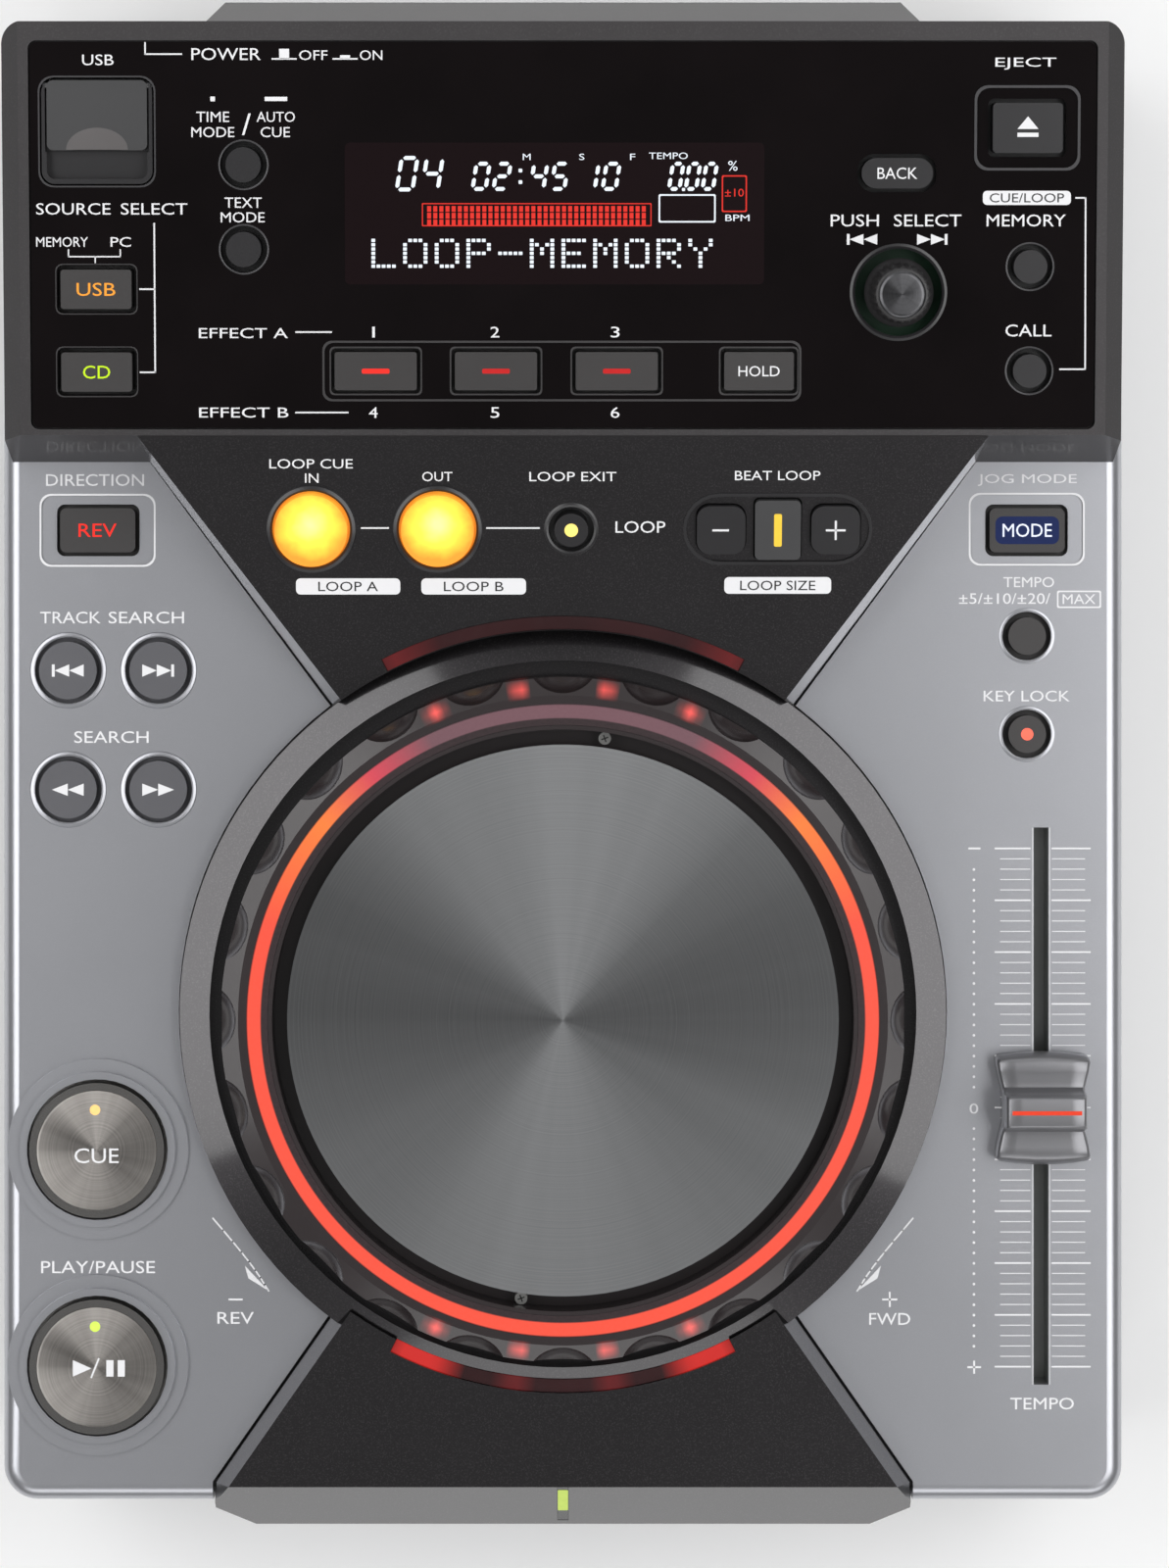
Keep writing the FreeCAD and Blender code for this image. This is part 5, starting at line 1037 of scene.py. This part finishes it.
def arc_glow():
    """The arc lenses: dark red acrylic, lit near their ends and over the small lamps under the front one."""
    made = finish("arc_glow", tint(44, 14, 16), 0.25, mottle=0.3, grain=2.0, relief=0.003, gloss=0.6)
    tree = made.node_tree
    shader = tree.nodes["Principled BSDF"]
    heading = jog_sockets(tree)[1]
    off = tint(10, 2, 3)
    low = tint(96, 18, 20)
    red = tint(206, 40, 34)
    front_lens = [(0.172, off), (0.178, red), (0.194, red), (0.206, off), (0.22, off), (0.229, low),
                  (0.238, off), (0.262, off), (0.271, low), (0.28, off), (0.294, off), (0.306, red),
                  (0.322, red), (0.328, off)]
    rear_lens = [(0.672, off), (0.678, low), (0.7, off), (0.8, off), (0.822, low), (0.828, off)]
    lit = ramp(tree, heading, [(0.0, off)] + front_lens + rear_lens + [(1.0, off)])
    tree.links.new(lit, shader.inputs["Emission Color"])
    shader.inputs["Emission Strength"].default_value = 1.0
    return made


SCREW_CIRCLE = 54.3
SCREW_SPAN = (15.49, 15.54)
dress(light_guide(), "jog_light_ring")
dress(dial_rim(), "jog_dial")
dress(spun("plate_metal", tint(120, 121, 122), 0.36, JOG, 0.16, rings=0.3), "jog_plate")
dress(arc_glow(), "arc_lenses")
# Two dark crosses on the zinc screw heads are painted shade, where their cross recesses would fall dark.
crosses = bmesh.new()
for heading in (81.5, 261.5):
    u = JOG[0] + SCREW_CIRCLE * math.cos(math.radians(heading))
    v = JOG[1] + SCREW_CIRCLE * math.sin(math.radians(heading))
    line(crosses, deck_level, [(u - 0.55, v - 0.2), (u + 0.55, v + 0.2)], 0.26, SCREW_SPAN)
    line(crosses, deck_level, [(u + 0.2, v - 0.55), (u - 0.2, v + 0.55)], 0.26, SCREW_SPAN)
printed(crosses, "jog_screw_cross_shade", dark_ink_and_shade, "jog_dial")


# ---- The felt lips of the disc slot, glued behind the nose.
# They are soft black brushes that keep dust out and wipe the disc.
felt = finish("slot_felt", tint(18, 18, 19), 0.95, mottle=0.2, grain=0.2, relief=0.08, gloss=0.1)
dress(felt, "slot_brush")


# ---- The rear sockets: mains inlet, line out pair, square socket and the power button, in black plastic.
# They stand in the recessed rear panel.
socket_black = finish("socket_black", tint(30, 30, 31), 0.5, mottle=0.08, grain=0.4, relief=0.01)
dress(socket_black, "mains_inlet", "rear_jacks", "power_button")
soften(0.4, "power_button")
